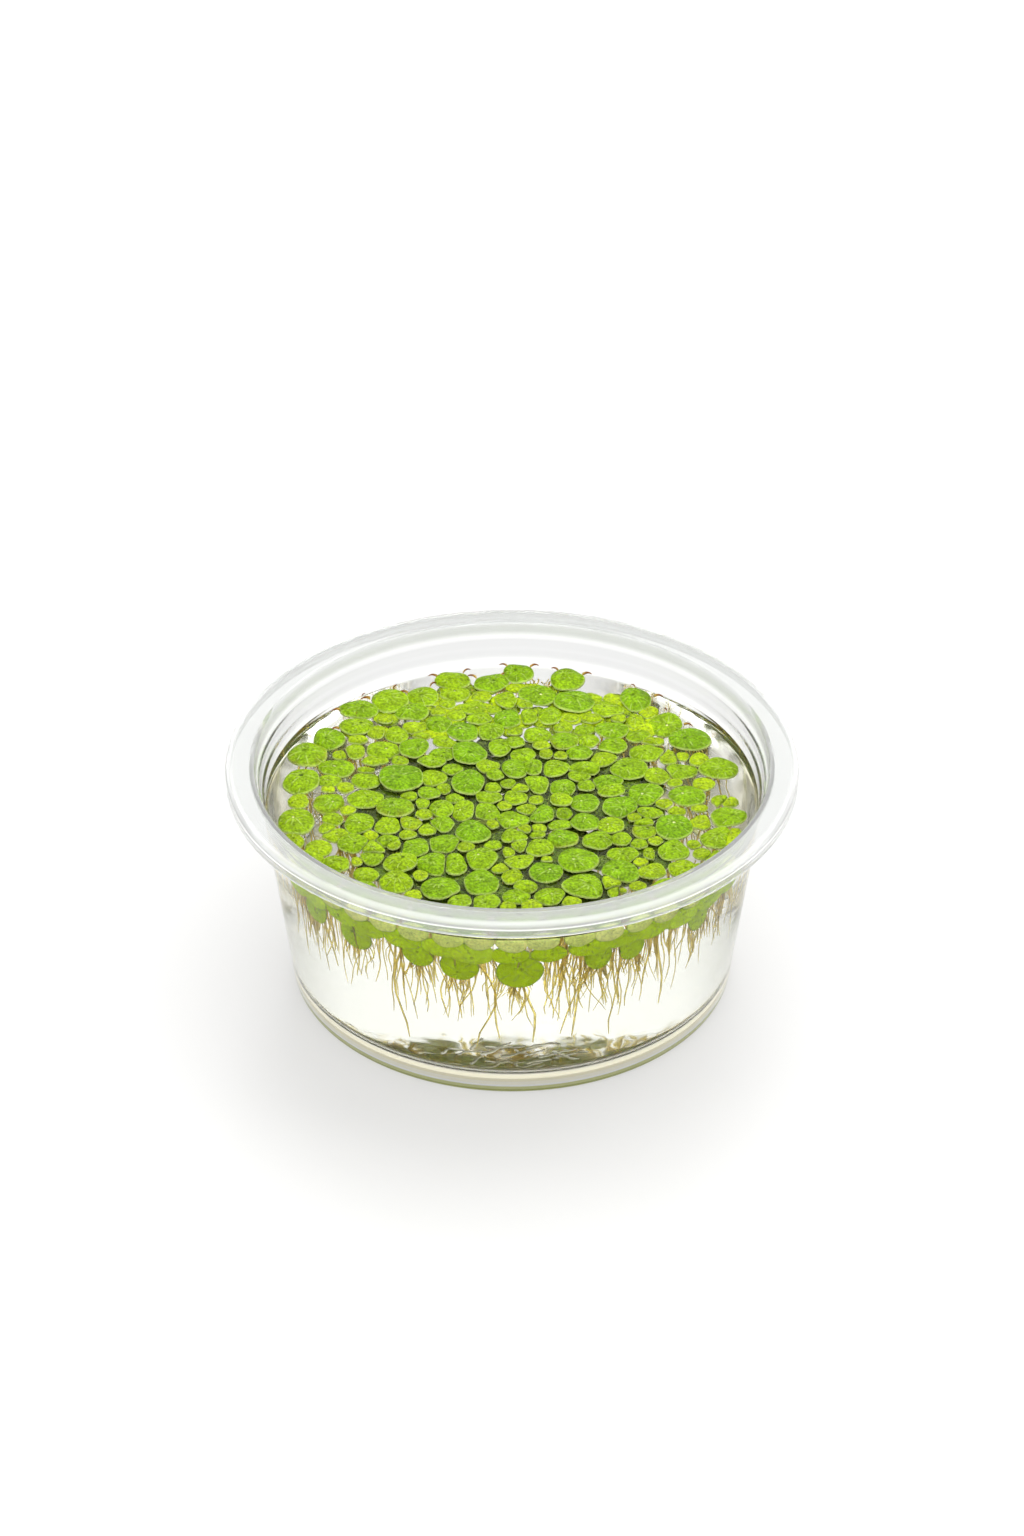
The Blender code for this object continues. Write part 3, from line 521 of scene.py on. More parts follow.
def tub_profile(tub):
    """The tub's section: floor, wall, neck and rim inside, then rim, wall and foot outside."""
    shoulder = tub.height - tub.shoulder_drop
    neck = tub.height - tub.neck_drop
    skirt = tub.height - tub.skirt_drop
    flange = tub.height - tub.sheet
    floor_bottom = tub.floor_top - tub.sheet
    neck_radius = tub.mouth_radius - 0.45 * MM
    skirt_inside = tub.rim_radius - tub.sheet
    foot_inside = tub.foot_radius - tub.foot_width
    ring = wall_radius(tub, tub.ring_level)
    ring_top = tub.ring_level + 0.45 * MM
    foot_corner = 0.5 * MM
    inside = [(0.0, tub.floor_top)]
    inside += arc(fillet_middle(tub), tub.floor_fillet, -90.0, 0.0)
    upper = [
        inside[-1],
        (ring - tub.wall, tub.ring_level),
        (ring - tub.wall + tub.ring_step, ring_top),
        (wall_radius(tub, shoulder) - tub.wall + 0.8 * tub.ring_step, shoulder),
        (neck_radius, neck),
        (tub.mouth_radius - 0.25 * MM, tub.height - 0.35 * MM),
        (tub.mouth_radius + 0.1 * MM, tub.height),
        *arc((skirt_inside, flange), tub.sheet, 90.0, 0.0),
        (tub.rim_radius, skirt),
        (skirt_inside, skirt),
        (skirt_inside, flange),
        (neck_radius + 0.9 * MM, flange),
        (neck_radius + tub.wall, neck),
        (wall_radius(tub, shoulder) + 0.8 * tub.ring_step, shoulder),
        (ring + tub.ring_step, ring_top),
        (ring, tub.ring_level),
        (wall_radius(tub, foot_corner), foot_corner),
        (tub.foot_radius - 0.3 * MM, 0.0),
        (foot_inside, 0.0),
        (foot_inside, floor_bottom),
        (0.0, floor_bottom),
    ]
    return held(inside + rounded(upper, CORNER)[1:], HOLD)


def water_profile(tub, water):
    """The water's section, from the middle of its surface to the middle of the floor."""
    skin = wall_radius(tub, water.level + water.climb) - tub.wall + water.contact
    start = skin - water.climb_width
    points = [(0.0, water.level)]
    for step in np.linspace(0.0, 1.0, 9):
        points.append((start + water.climb_width * step, water.level + water.climb * step**3))
    points += arc(fillet_middle(tub), tub.floor_fillet + water.contact, 0.0, -90.0)
    points.append((0.0, tub.floor_top - water.contact))
    return held(points, HOLD)


def plug(tree, socket, value):
    """Give a socket a number, a colour or another node's output. None leaves it as it is."""
    if isinstance(value, bpy.types.NodeSocket):
        tree.links.new(value, socket)
    elif value is not None:
        socket.default_value = (*value[:3], 1.0) if socket.type == "RGBA" else value


def fill(tree, node, values):
    """Fill a node's sockets by their names, and return its first output."""
    for name, value in values.items():
        plug(tree, node.inputs[name], value)
    return node.outputs[0]


def wire(tree, kind, *values, **settings):
    """Add a node, and fill its sockets in order."""
    node = tree.nodes.new(kind)
    for key, value in settings.items():
        setattr(node, key, value)
    for socket, value in zip(node.inputs, values):
        plug(tree, socket, value)
    return node


def maths(tree, operation, value, *others, clamp=False):
    """Put a value through an operation, alone or with each of the others in turn."""
    for other in others or (None,):
        node = wire(tree, "ShaderNodeMath", value, other, operation=operation, use_clamp=clamp)
        value = node.outputs[0]
    return value


def blend_colours(tree, factor, first, second, how="MIX"):
    """Mix two colours. The five sockets between the factor and the colours aren't used."""
    node = wire(
        tree, "ShaderNodeMix", factor, *[None] * 5, first, second, data_type="RGBA",
        blend_type=how)
    return node.outputs[2]


def layered(tree, colour, *layers):
    """Lay colours over a first one, each as (factor, colour)."""
    for factor, over in layers:
        colour = blend_colours(tree, factor, colour, over)
    return colour


def shaded(tree, factor, colour, shade):
    """Darken and lighten a colour by a number."""
    grey = wire(tree, "ShaderNodeCombineXYZ", shade, shade, shade).outputs[0]
    return blend_colours(tree, factor, colour, grey, "MULTIPLY")


def between(tree, value, low, high, new_low=0.0, new_high=1.0):
    """Map a value from one range to another, held at the ends."""
    return wire(tree, "ShaderNodeMapRange", value, low, high, new_low, new_high).outputs[0]


def spots(tree, vector, scale, detail, *ranges):
    """Soft random mottling between 0 and 1, which ranges map as they do for between."""
    node = tree.nodes.new("ShaderNodeTexNoise")
    value = fill(tree, node, {"Vector": vector, "Scale": scale, "Detail": detail})
    return between(tree, value, *ranges) if ranges else value


def strip(tree, value, rise_start, rise_end, fall_start=None, fall_end=None):
    """1 inside a range of millimetres and 0 outside it, with soft ends. It may have no end."""
    rise = between(tree, value, rise_start * MM, rise_end * MM)
    if fall_start is None:
        return rise
    return maths(
        tree, "MULTIPLY", rise, between(tree, value, fall_start * MM, fall_end * MM, 1.0, 0.0))


def bumped(tree, height, distance):
    """A bump of a height in millimetres."""
    node = tree.nodes.new("ShaderNodeBump")
    return fill(tree, node, {"Distance": distance * MM, "Height": height})


def new_material(name):
    """A new material, its nodes, its shader and the place of each point on the piece."""
    material = bpy.data.materials.new(name)
    material.use_nodes = True
    tree = material.node_tree
    place = tree.nodes.new("ShaderNodeTexCoord").outputs["Object"]
    return material, tree, tree.nodes["Principled BSDF"], place


def plastic_material(tub):
    """Clear moulded plastic, with the faint waves and haze of a thin moulding, painted highlights
    on the lip and round the skirt, and painted reflections of the plants at the foot and the
    band.
    """
    material, tree, shader, place = new_material("clear plastic")
    across, along, level = wire(tree, "ShaderNodeSeparateXYZ", place).outputs
    flat = wire(tree, "ShaderNodeCombineXYZ", across, along, 0.0).outputs[0]
    away = wire(tree, "ShaderNodeVectorMath", flat, operation="LENGTH").outputs[1]
    rim = strip(tree, level, *RIM_LEVELS)
    upper = strip(tree, level, *UPPER_LEVELS)
    # The lip strip is a painted highlight round the rim's rounded outer edge
    lip = maths(tree, "MULTIPLY", strip(tree, away, *LIP_HIGHLIGHT_AWAY), strip(tree, level, *LIP_HIGHLIGHT_LEVELS))
    # The two lines round the skirt are painted highlights
    lines = maths(
        tree, "ADD", strip(tree, level, *LOW_HIGHLIGHT_LEVELS), strip(tree, level, *HIGH_HIGHLIGHT_LEVELS))
    lines = maths(tree, "MULTIPLY", lines, strip(tree, away, *HIGHLIGHT_LINE_AWAY))
    # The foot strip is a painted reflection of the roots and fronds, stronger further out
    foot = maths(
        tree, "MULTIPLY", strip(tree, level, *FOOT_REFLECTION_LEVELS),
        between(tree, away, *(place * MM for place in FOOT_REFLECTION_AWAY), 0.4, 1.0))
    # The band over the ground is the plants' green, painted as refracted through the bottom edge
    band = strip(tree, level, *BAND_REFRACTION_LEVELS)
    ring = maths(
        tree, "MULTIPLY", strip(tree, away, *RING_AWAY), strip(tree, level, *RING_LEVELS), 0.45)
    # Milkiness of the rim and the ring, with the painted highlights of the lip and the skirt
    # lines
    milk_and_highlights = maths(
        tree, "ADD", maths(tree, "MULTIPLY", rim, tub.milky),
        maths(tree, "MULTIPLY", lip, tub.lip_highlight_milkiness), ring, maths(tree, "MULTIPLY", lines, 0.5))
    fill(tree, shader, {
        "Base Color": layered(
            tree, tub.colour, (rim, tub.rim_colour), (upper, tub.upper_colour),
            (lip, tub.lip_highlight_colour), (lines, tub.skirt_highlight_colour), (foot, tub.foot_reflection_colour),
            (band, tub.band_refraction_colour)),
        "Transmission Weight": maths(tree, "SUBTRACT", 1.0, milk_and_highlights),
        "IOR": tub.bending,
        "Specular Tint": tub.shine,
        "Roughness": spots(tree, place, 220.0, 3.0, 0.35, 0.75, 0.01, 0.05),
        "Normal": bumped(tree, spots(tree, place, 95.0, 2.0), 0.025),
    })
    return material


def water_material(water):
    """Clear water with a faint tint and a surface that isn't quite flat."""
    material, tree, shader, place = new_material("clear water")
    fill(tree, shader, {
        "Base Color": (1.0, 1.0, 1.0),
        "Roughness": 0.0,
        "Transmission Weight": 1.0,
        "IOR": water.bending,
        "Specular Tint": (0.05, 0.05, 0.05),
        "Normal": bumped(tree, spots(tree, place, 240.0, 1.0), 0.03),
    })
    takes = tree.nodes.new("ShaderNodeVolumeAbsorption")
    volume = fill(tree, takes, {"Color": water.colour, "Density": water.density})
    plug(tree, tree.nodes["Material Output"].inputs["Volume"], volume)
    return material


def frond_material(look):
    """Satin leaf: mottled green, pale veins from a dark node, a pebbled skin, and a painted
    highlight of vein colour round the edge.

    "leaf place" holds each point's place about the node and a number of the frond's own,
    and "leaf tint" holds its age and light, its wilting, its underside and its distance out.
    Age and light goes from the old colour at 0 to the young at 1; higher values give the brighter
    under-water and pale colours, which are painted light, and lower ones the dark colour of
    painted shade.
    """
    material, tree, shader, place = new_material("duckweed frond")
    own = wire(tree, "ShaderNodeAttribute", attribute_name="leaf place").outputs["Vector"]
    kept = wire(tree, "ShaderNodeAttribute", attribute_name="leaf tint").outputs
    across, along, _ = wire(tree, "ShaderNodeSeparateXYZ", own).outputs
    age_and_light, wilt, under = wire(tree, "ShaderNodeSeparateColor", kept["Color"]).outputs
    squared = maths(
        tree, "ADD", maths(tree, "MULTIPLY", across, across),
        maths(tree, "MULTIPLY", along, along))
    turn = maths(tree, "ARCTAN2", along, across)
    crooked = maths(tree, "MULTIPLY", spots(tree, own, 1.6, 1.0), 0.35)
    ribs = maths(
        tree, "COSINE", maths(tree, "MULTIPLY", maths(tree, "ADD", turn, crooked), 10.0))
    off_rib = maths(tree, "MULTIPLY", maths(tree, "SUBTRACT", 1.0, ribs), squared, 6.5)
    rib = maths(tree, "SUBTRACT", 1.0, off_rib, clamp=True)
    vein = maths(
        tree, "MULTIPLY", rib, spots(tree, own, 2.6, 1.0, 0.5, 0.62),
        between(tree, squared, 0.01, 0.06))
    # Old to young colour from 0 to 1; above 1 the brighter under-water and pale colours, painted
    # light and reflection; below 0 the dark colour, painted shade
    colour = layered(
        tree, look.old_colour, (between(tree, age_and_light, 0.0, 1.0), look.young_colour),
        (between(tree, age_and_light, 1.0, 2.0), look.wet_painted_light_colour),
        (between(tree, age_and_light, 2.0, 3.0), look.pale_painted_light_colour),
        (between(tree, age_and_light, -1.0, 0.0, 1.0, 0.0), look.deep_painted_shade_colour))
    broad = spots(tree, place, 520.0, 3.0, 0.3, 0.7, 0.74, 1.22)
    fine = spots(tree, place, 2900.0, 2.0, 0.3, 0.7, 0.56, 1.44)
    mottled = between(tree, age_and_light, 1.0, 1.6, 1.0, 0.35)
    colour = shaded(tree, mottled, colour, maths(tree, "MULTIPLY", broad, fine))
    pit = maths(
        tree, "MULTIPLY", between(tree, squared, 0.003, 0.018, 1.0, 0.0),
        spots(tree, own, 0.8, 1.0, 0.4, 0.62, 0.2, 0.85),
        between(tree, age_and_light, 1.9, 2.5, 1.0, 0.0))
    brown = maths(tree, "MULTIPLY", wilt, spots(tree, place, 900.0, 2.0, 0.35, 0.6))
    below = blend_colours(
        tree, spots(tree, place, 700.0, 2.0, 0.45, 0.65, 0.0, 0.2), look.under_colour,
        look.brown_colour)
    height = maths(
        tree, "ADD", maths(tree, "MULTIPLY", spots(tree, place, 3800.0, 1.5), 1.3),
        maths(tree, "MULTIPLY", spots(tree, place, 1100.0, 2.0), 2.2),
        maths(tree, "MULTIPLY", vein, 0.8))
    fill(tree, shader, {
        "Base Color": layered(
            # Painted highlight: the vein colour laid round the outer edge of the frond
            tree, colour, (between(tree, kept["Alpha"], 0.92, 1.0, 0.0, 0.75), look.vein_and_edge_light_colour),
            (maths(tree, "MULTIPLY", vein, 0.42), look.vein_and_edge_light_colour), (pit, look.node_colour),
            (brown, look.brown_colour), (under, below)),
        "Roughness": spots(tree, place, 1500.0, 2.0, 0.3, 0.7, 0.34, 0.52),
        "Specular IOR Level": 0.06,
        "Subsurface Weight": 0.12,
        "Subsurface Radius": (0.6, 1.0, 0.05),
        "Subsurface Scale": 0.6 * MM,
        "Normal": bumped(tree, height, 0.13),
    })
    return material


def root_material(look):
    """Thin khaki roots, paler at the tips, with the brown scales in the same material.

    "leaf tint" holds how near the tip a point is, how brown, and how bleached.
    """
    material, tree, shader, place = new_material("duckweed root")
    kept = wire(tree, "ShaderNodeAttribute", attribute_name="leaf tint").outputs["Color"]
    tip, brown, bleached = wire(tree, "ShaderNodeSeparateColor", kept).outputs
    colour = layered(
        tree, look.root_colour, (tip, look.tip_colour), (bleached, look.bleached_colour))
    colour = shaded(tree, 1.0, colour, spots(tree, place, 800.0, 3.0, 0.3, 0.7, 0.7, 1.25))
    fill(tree, shader, {
        "Base Color": blend_colours(tree, brown, colour, look.brown_colour),
        "Roughness": spots(tree, place, 2400.0, 2.0, 0.3, 0.7, 0.4, 0.6),
        "Specular IOR Level": 0.1,
        "Transmission Weight": 0.75,
        "IOR": 1.06,
        "Normal": bumped(tree, spots(tree, place, 3200.0, 2.0), 0.03),
    })
    return material


def ground_material(stage):
    """Smooth white board with a barely uneven finish."""
    material, tree, shader, place = new_material("white ground")
    dark = [0.985 * channel for channel in stage.ground_colour]
    fill(tree, shader, {
        "Base Color": blend_colours(
            tree, spots(tree, place, 6.0, 3.0), stage.ground_colour, dark),
        "Roughness": spots(tree, place, 40.0, 3.0, 0.3, 0.7, 0.32, 0.42),
        "Specular IOR Level": 0.3,
        "Emission Color": (1.0, 0.995, 0.98),
        "Emission Strength": stage.glow,
    })
    return material


def model_frond(name, sides, rings):
    """Model a frond of radius 1 as a rounded pad, with a small pit in the middle of its top."""
    underside, top_edge, half = 0.93, 0.975, 0.4
    item = start_circle(name, sides, underside)
    extrude(half, 1.0 / underside)
    extrude(half, top_edge)
    for width, rise in rings:
        bpy.ops.mesh.inset(thickness=width, depth=rise)
    bpy.ops.mesh.poke()
    turn_outward()
    return item


def model_root(name, sides, steps):
    """Model a straight root of radius 1 and length 1 that tapers to a blunt tip."""
    taper, blunt = 0.96, 0.5
    item = start_circle(name, sides, 1.0)
    for count in range(steps):
        extrude(-1.0 / steps, blunt if count == steps - 1 else taper)
    turn_outward()
    return item


class Kit:
    """What plants are grown with: their look, materials and models, the tub and chance."""

    def __init__(self, context, seed):
        self.look = context.scene.duckweed_plants
        self.tub = context.scene.duckweed_tub
        made = bpy.data.materials
        self.leaf = made.get("duckweed frond") or frond_material(self.look)
        self.hair = made.get("duckweed root") or root_material(self.look)
        self.fronds = [model_frond(*model) for model in FROND_MODELS]
        self.root = model_root("root model", ROOT_SIDES, ROOT_STEPS)
        self.chance = random.Random(seed)

    def put_away(self):
        """Remove the models, once all is copied from them."""
        for model in (*self.fronds, self.root):
            mesh = model.data
            bpy.data.objects.remove(model)
            bpy.data.meshes.remove(mesh)


def copy_of(model, material):
    """Copy a model with a mesh of its own, and return its points too."""
    item = model.copy()
    item.data = model.data.copy()
    item.data.materials.append(material)
    bpy.context.collection.objects.link(item)
    points = np.empty(len(item.data.vertices) * 3)
    item.data.vertices.foreach_get("co", points)
    return item, points.reshape(-1, 3)


def set_points(item, points, tints, places=None):
    """Move a copy's points, and keep what its material reads at each of them."""
    item.data.vertices.foreach_set("co", (points * MM).ravel())
    places = np.zeros(points.shape) if places is None else places
    own = item.data.attributes.new("leaf place", "FLOAT_VECTOR", "POINT")
    own.data.foreach_set("vector", places.ravel())
    channels = np.ones((len(points), 4))
    for column, values in enumerate(tints):
        channels[:, column] = values
    kept = item.data.attributes.new("leaf tint", "FLOAT_COLOR", "POINT")
    kept.data.foreach_set("color", channels.ravel())
    item.data.shade_smooth()
    item.data.update()


def reach(frond, across, along, spread=FROND_SPREAD):
    """How far a frond's own oval reaches from its middle in a direction."""
    return 1.0 / np.hypot(across / (spread * frond[2] / 2), along / (spread * frond[3] / 2))


def towards(frond, other):
    """The distance and direction from one frond's middle to another's."""
    across, along = other[0] - frond[0], other[1] - frond[1]
    distance = math.hypot(across, along)
    return distance, (across / distance, along / distance)


def gap_between(frond, other):
    """The gap between two fronds' ovals."""
    distance, way = towards(frond, other)
    return distance - reach(frond, *way) - reach(other, *way)


def mother_of(frond, family):
    """The first frond of a plant, unless that is the frond itself."""
    return family[0] if family and family[0] is not frond else None


def make_colonies():
    """Take the largest fronds as mothers, and join each young frond to the closest of them."""
    fronds = sorted(FRONDS + FRONT_FRONDS, key=lambda frond: frond[2] * frond[3], reverse=True)
    colonies = []
    young_fronds = []
    for frond in fronds:
        near = [1 for colony in colonies if towards(frond, colony[0])[0] < MOTHER_SPACING]
        if near or len(colonies) == MOST_PLANTS:
            young_fronds.append(frond)
        else:
            colonies.append([frond])
    loose = []
    for young in young_fronds:
        free = [colony for colony in colonies if len(colony) <= MOST_YOUNG]
        closest = min(free, key=lambda colony: gap_between(colony[0], young))
        if gap_between(closest[0], young) < JOIN_GAP:
            closest.append(young)
        else:
            loose.append(young)
    return colonies, loose


def filling_fronds(fronds):
    """Young fronds for the widest gaps between the others, as (x, y, width, depth)."""
    most, least_room, extra = 60, 0.6, 0.7
    grid = np.arange(-26.0, 26.5, 0.5)
    across, along = [side.ravel() for side in np.meshgrid(grid, grid)]
    inside = np.hypot(across, along + 1.0) < 25.5
    across, along = across[inside], along[inside]

    def room(frond):
        right, back = across - frond[0], along - frond[1]
        distance = np.hypot(right, back) + 1e-6
        return distance - reach(frond, right / distance, back / distance, OVAL_SPREAD)

    clear = np.min([room(frond) for frond in fronds], axis=0)
    added = []
    while len(added) < most and clear.max() > least_room:
        best = int(np.argmax(clear))
        size = 2.0 * float(clear[best]) + extra
        added.append((float(across[best]), float(along[best]), size * 1.1, size))
        clear = np.minimum(clear, room(added[-1]))
    return added


def whole_mat():
    """The plants, the young fronds that join none, the small ones, and all of them together."""
    colonies, loose = make_colonies()
    large = [frond for colony in colonies for frond in colony] + loose
    small = LOOSE_FRONDS + filling_fronds(large + LOOSE_FRONDS)
    return colonies, loose, small, large + small


def owner_of(sunken, colonies):
    """The number of the colony whose floating frond a sunken frond's stalk meets."""
    shrink = 1.0 - SUNKEN_LEAN * (STALK_LEVEL - SUNKEN_LOW) / STALK_REACH
    along = -math.sqrt(STALK_REACH**2 - sunken[0] ** 2)
    stalk = (sunken[0] * shrink, along * shrink)

    def spread(colony):
        pairs = [(towards(frond, stalk), frond) for frond in colony]
        return min(distance / reach(frond, *way) for (distance, way), frond in pairs)

    return min(range(len(colonies)), key=lambda number: spread(colonies[number]))


def frond_outline(kit, frond, angles, others, family):
    """How far a frond reaches at each angle: an oval with a wavy edge, held by neighbours.

    The family is the frond's whole plant, with the mother first.
    """
    look, chance = kit.look, kit.chance
    mother = mother_of(frond, family)
    across, along = np.cos(angles), np.sin(angles)
    outline = reach(frond, across, along, OVAL_SPREAD)
    for waves, size in EDGE_WAVES:
        turn = chance.uniform(0.0, 2.0 * math.pi)
        wavy = chance.uniform(0.3, 1.0) * size * np.cos(waves * angles - turn)
        outline = outline * (1.0 + wavy)
    wanted = 0.0
    if mother:
        distance, way = towards(frond, mother)
        wanted = distance - reach(mother, *way, 1.0) + look.overlap / MM
        facing = across * way[0] + along * way[1]
        stretch = np.exp(-(((1.0 - facing) / 0.22) ** 2))
        outline = outline + stretch * max(0.0, wanted - float(reach(frond, *way, OVAL_SPREAD)))
    for other in others:
        distance, way = towards(frond, other)
        if distance > SHAPING_REACH:
            continue
        own, theirs = float(reach(frond, *way)), float(reach(other, *way))
        over = look.overlap if other in family else -look.gap
        border = distance * own / (own + theirs) + over / MM / 2.0
        if other is mother:
            border = max(border, wanted)
        facing = across * way[0] + along * way[1]
        limit = border / np.maximum(facing, 0.05)
        outline = (outline**-SHARPNESS + limit**-SHARPNESS) ** (-1.0 / SHARPNESS)
    inward = frond[0] * across + frond[1] * along
    middle = frond[0] ** 2 + frond[1] ** 2
    wall = np.sqrt(inward**2 + (look.reach / MM) ** 2 - middle) - inward
    return np.minimum(outline, wall)


def frond_points(kit, points, frond, others, family, size):
    """Give a copied frond its own outline, folds and wavy edge, about its own middle.

    With its points come their places about the node, how far out they are, how much of the
    pale underside they show, and whether they are on top.
    """
    look, chance = kit.look, kit.chance
    node_shift, folds, fold_width, tilt = 0.26, 3, 0.15, 0.035
    mother = mother_of(frond, family)
    angles = np.arctan2(points[:, 1], points[:, 0])
    out = np.hypot(points[:, 0], points[:, 1])
    outline = frond_outline(kit, frond, angles, others, family)
    across, along = np.cos(angles) * out * outline, np.sin(angles) * out * outline
    if mother:
        way = towards(frond, mother)[1]
        turn = math.atan2(way[1], way[0]) + chance.uniform(-0.3, 0.3)
    else:
        turn = chance.uniform(-math.pi, math.pi)
    offset = node_shift * float(np.mean(outline))
    shift = (1.0 - np.clip(out, 0.0, 1.0) ** 1.6) * offset
    across = across + shift * math.cos(turn)
    along = along + shift * math.sin(turn)
    top = points[:, 2] > 0.6
    rise = points[:, 2] * look.thickness / MM
    dome = look.dome / MM * size * chance.uniform(0.7, 1.3)
    lift = dome * (1.0 - out**3)
    spoke = 2.0 * math.pi / LARGE_SIDES
    for _ in range(folds):
        fold = spoke * round((turn + math.pi + chance.uniform(-1.6, 1.6)) / spoke)
        off = np.abs((angles - fold + math.pi) % (2.0 * math.pi) - math.pi)
        ridge = np.exp(-((off / fold_width) ** 2)) * out * (1.1 - out)
        lift = lift + chance.uniform(-0.35, 0.75) * size * ridge
    wave = chance.uniform(0.04, 0.13) * size
    for waves in LEVEL_WAVES:
        lift = lift + wave * out**3 * np.cos(waves * angles - chance.uniform(0.0, 6.3))
    level = rise + np.where(top, lift, lift * 0.7)
    level = level + across * chance.gauss(0.0, tilt) + along * chance.gauss(0.0, tilt)
    scale = 4.0 / (frond[2] + frond[3])
    right, back = across - offset * math.cos(turn), along - offset * math.sin(turn)
    cosine, sine = math.cos(turn + math.pi), math.sin(turn + math.pi)
    places = np.stack([
        (right * cosine + back * sine) * scale,
        (back * cosine - right * sine) * scale,
        np.full(len(points), chance.uniform(0.0, 90.0)),
    ], axis=1)
    under = np.where(top, 0.0, np.clip(1.4 - out * 0.9, 0.0, 1.0))
    return np.stack([across, along, level], axis=1), places, out, under


def floating_frond(kit, frond, everyone, family, age_and_light=None, models=None):
    """Copy a model for a floating frond and lay it on the water."""
    look, chance = kit.look, kit.chance
    models = models or kit.fronds
    small = frond[2] * frond[3] < YOUNG_AREA
    item, points = copy_of(models[-1] if small else chance.choice(models[:-1]), kit.leaf)
    size = min(1.0, (frond[2] + frond[3]) / FULL_SIZE)
    others = [other for other in everyone if other is not frond]
    points, places, out, under = frond_points(kit, points, frond, others, family, size)
    joined = mother_of(frond, family)
    lift = chance.uniform(0.0, 0.12) if joined else chance.uniform(0.05, 0.35)
    points += (frond[0], frond[1], look.float_level / MM + lift)
    if age_and_light is None:
        # Painted light: fronds further out get a brighter, younger colour, for light through them
        out_there = math.hypot(frond[0], 0.8 * frond[1]) / 30.0
        age_and_light = 1.0 - 0.2 * (frond[2] + frond[3]) / 2.0 + 0.45 * out_there**2
        age_and_light = min(max(age_and_light + chance.uniform(-0.22, 0.22), 0.0), 1.0)
    wilt = 0.2 * out**3 if chance.random() < 0.05 else 0.0
    set_points(item, points, (age_and_light, wilt, under, out), places)
    return item


def upright_frond(kit, angle, away, level, width, height, age_and_light):
    """Copy a model for a frond that stands upright against the wall."""
    item, points = copy_of(kit.fronds[0], kit.leaf)
    flat = (0.0, 0.0, width, height)
    points, places, out, under = frond_points(kit, points, flat, [], [], 0.7)
    radial = away - 0.4 + points[:, 2] - SUNKEN_LEAN * points[:, 1]
    radial -= points[:, 0] ** 2 / (2.0 * away)
    placed = np.stack([
        radial * math.cos(angle) - points[:, 0] * math.sin(angle),
        radial * math.sin(angle) + points[:, 0] * math.cos(angle),
        level + points[:, 1],
    ], axis=1)
    set_points(item, placed, (age_and_light, 0.0, 0.3 * under, out), places)
    return item


def held_in(x, y, limit):
    """Pull a place in towards the middle if it lies further out than the limit."""
    distance = math.hypot(x, y)
    if distance > limit:
        x, y = x * limit / distance, y * limit / distance
    return x, y


def stray(chance, place, across, along, limit, back=0.0):
    """A place that chance moves off another, but not further out than the limit."""
    return held_in(
        place[0] + chance.gauss(0.0, across), place[1] + chance.gauss(back, along), limit)


def bent_root(kit, start, end, size=1.0, wander=1.0, pale=0.0):
    """Copy the root and bend it from its start to its end, in waves, inside the tub's wall."""
    chance, tub = kit.chance, kit.tub
    item, points = copy_of(kit.root, kit.hair)
    along = -points[:, 2]
    span = np.array(end) - np.array(start)
    course = np.linalg.norm(span)
    path = np.array(start) + along[:, None] * span
    for axis in (0, 1):
        for waves in ROOT_WAVES:
            sway = wander * chance.gauss(0.0, 1.0) * 0.05 * course / waves
            turn = chance.uniform(0.0, 6.3)
            wave = np.sin(waves * math.pi * along + turn) - math.sin(turn)
            path[:, axis] += sway * wave * np.minimum(1.0, along * 3.0)
    inside = (wall_radius(tub, path[:, 2] * MM) - tub.wall) / MM - ROOT_CLEARANCE
    out = np.hypot(path[:, 0], path[:, 1])
    path[:, :2] *= np.minimum(1.0, inside / np.maximum(out, 1.0))[:, None]
    thick = size * kit.look.root_width / MM / 2.0 * chance.uniform(0.75, 1.2)
    path[:, 0] += points[:, 0] * thick
    lies = abs(span[2]) < 0.5 * course
    path[:, 2 if lies else 1] += points[:, 1] * thick
    tip = np.clip(along * 0.8 + chance.uniform(-0.2, 0.3), 0.0, 1.0)
    set_points(item, path, (tip, 0.0, pale))
    return item


def side_root(kit, item):
    """A thin side root that leaves another root about half way down."""
    chance = kit.chance
    first = ROOT_SIDES * chance.choice((3, 4, 5, 6))
    corners = [item.data.vertices[first + corner].co for corner in range(ROOT_SIDES)]
    start = sum((np.array(corner) for corner in corners), np.zeros(3)) / ROOT_SIDES / MM
    end = stray(chance, start, 1.2, 1.2, ROOT_END)
    return bent_root(kit, tuple(start), (*end, start[2] - chance.uniform(0.8, 2.6)), 0.7)


def root_tuft(kit, frond, tip, count):
    """The roots of one frond: a close bunch at the node that spreads on its way down."""
    chance = kit.chance
    roots = []
    top = kit.look.float_level / MM + 0.12
    for index in range(count):
        start = stray(chance, frond, 0.9, 0.6, ROOT_START)
        drop = 1.0 if index == 0 else chance.uniform(0.4, 0.85)
        level = top + (tip[2] - top) * drop
        spread = 0.25 if index == 0 else 1.5 * drop
        below = [start[axis] + (tip[axis] - frond[axis]) * drop for axis in (0, 1)]
        end = stray(chance, below, spread, spread, ROOT_END)
        root = bent_root(kit, (*start, top), (*end, level), 1.5 if index == 0 else 0.9)
        roots.append(root)
        if index % 3 == 1 and top - level > 4.0:
            roots.append(side_root(kit, root))
    return roots


def short_tuft(kit, frond, count):
    """A few roots, which are long at the front and get shorter towards the back."""
    level = max(16.0, 15.5 + 0.46 * frond[1]) + kit.chance.uniform(-1.5, 2.0)
    return root_tuft(kit, frond, (*frond[:2], min(level, 24.8)), count)


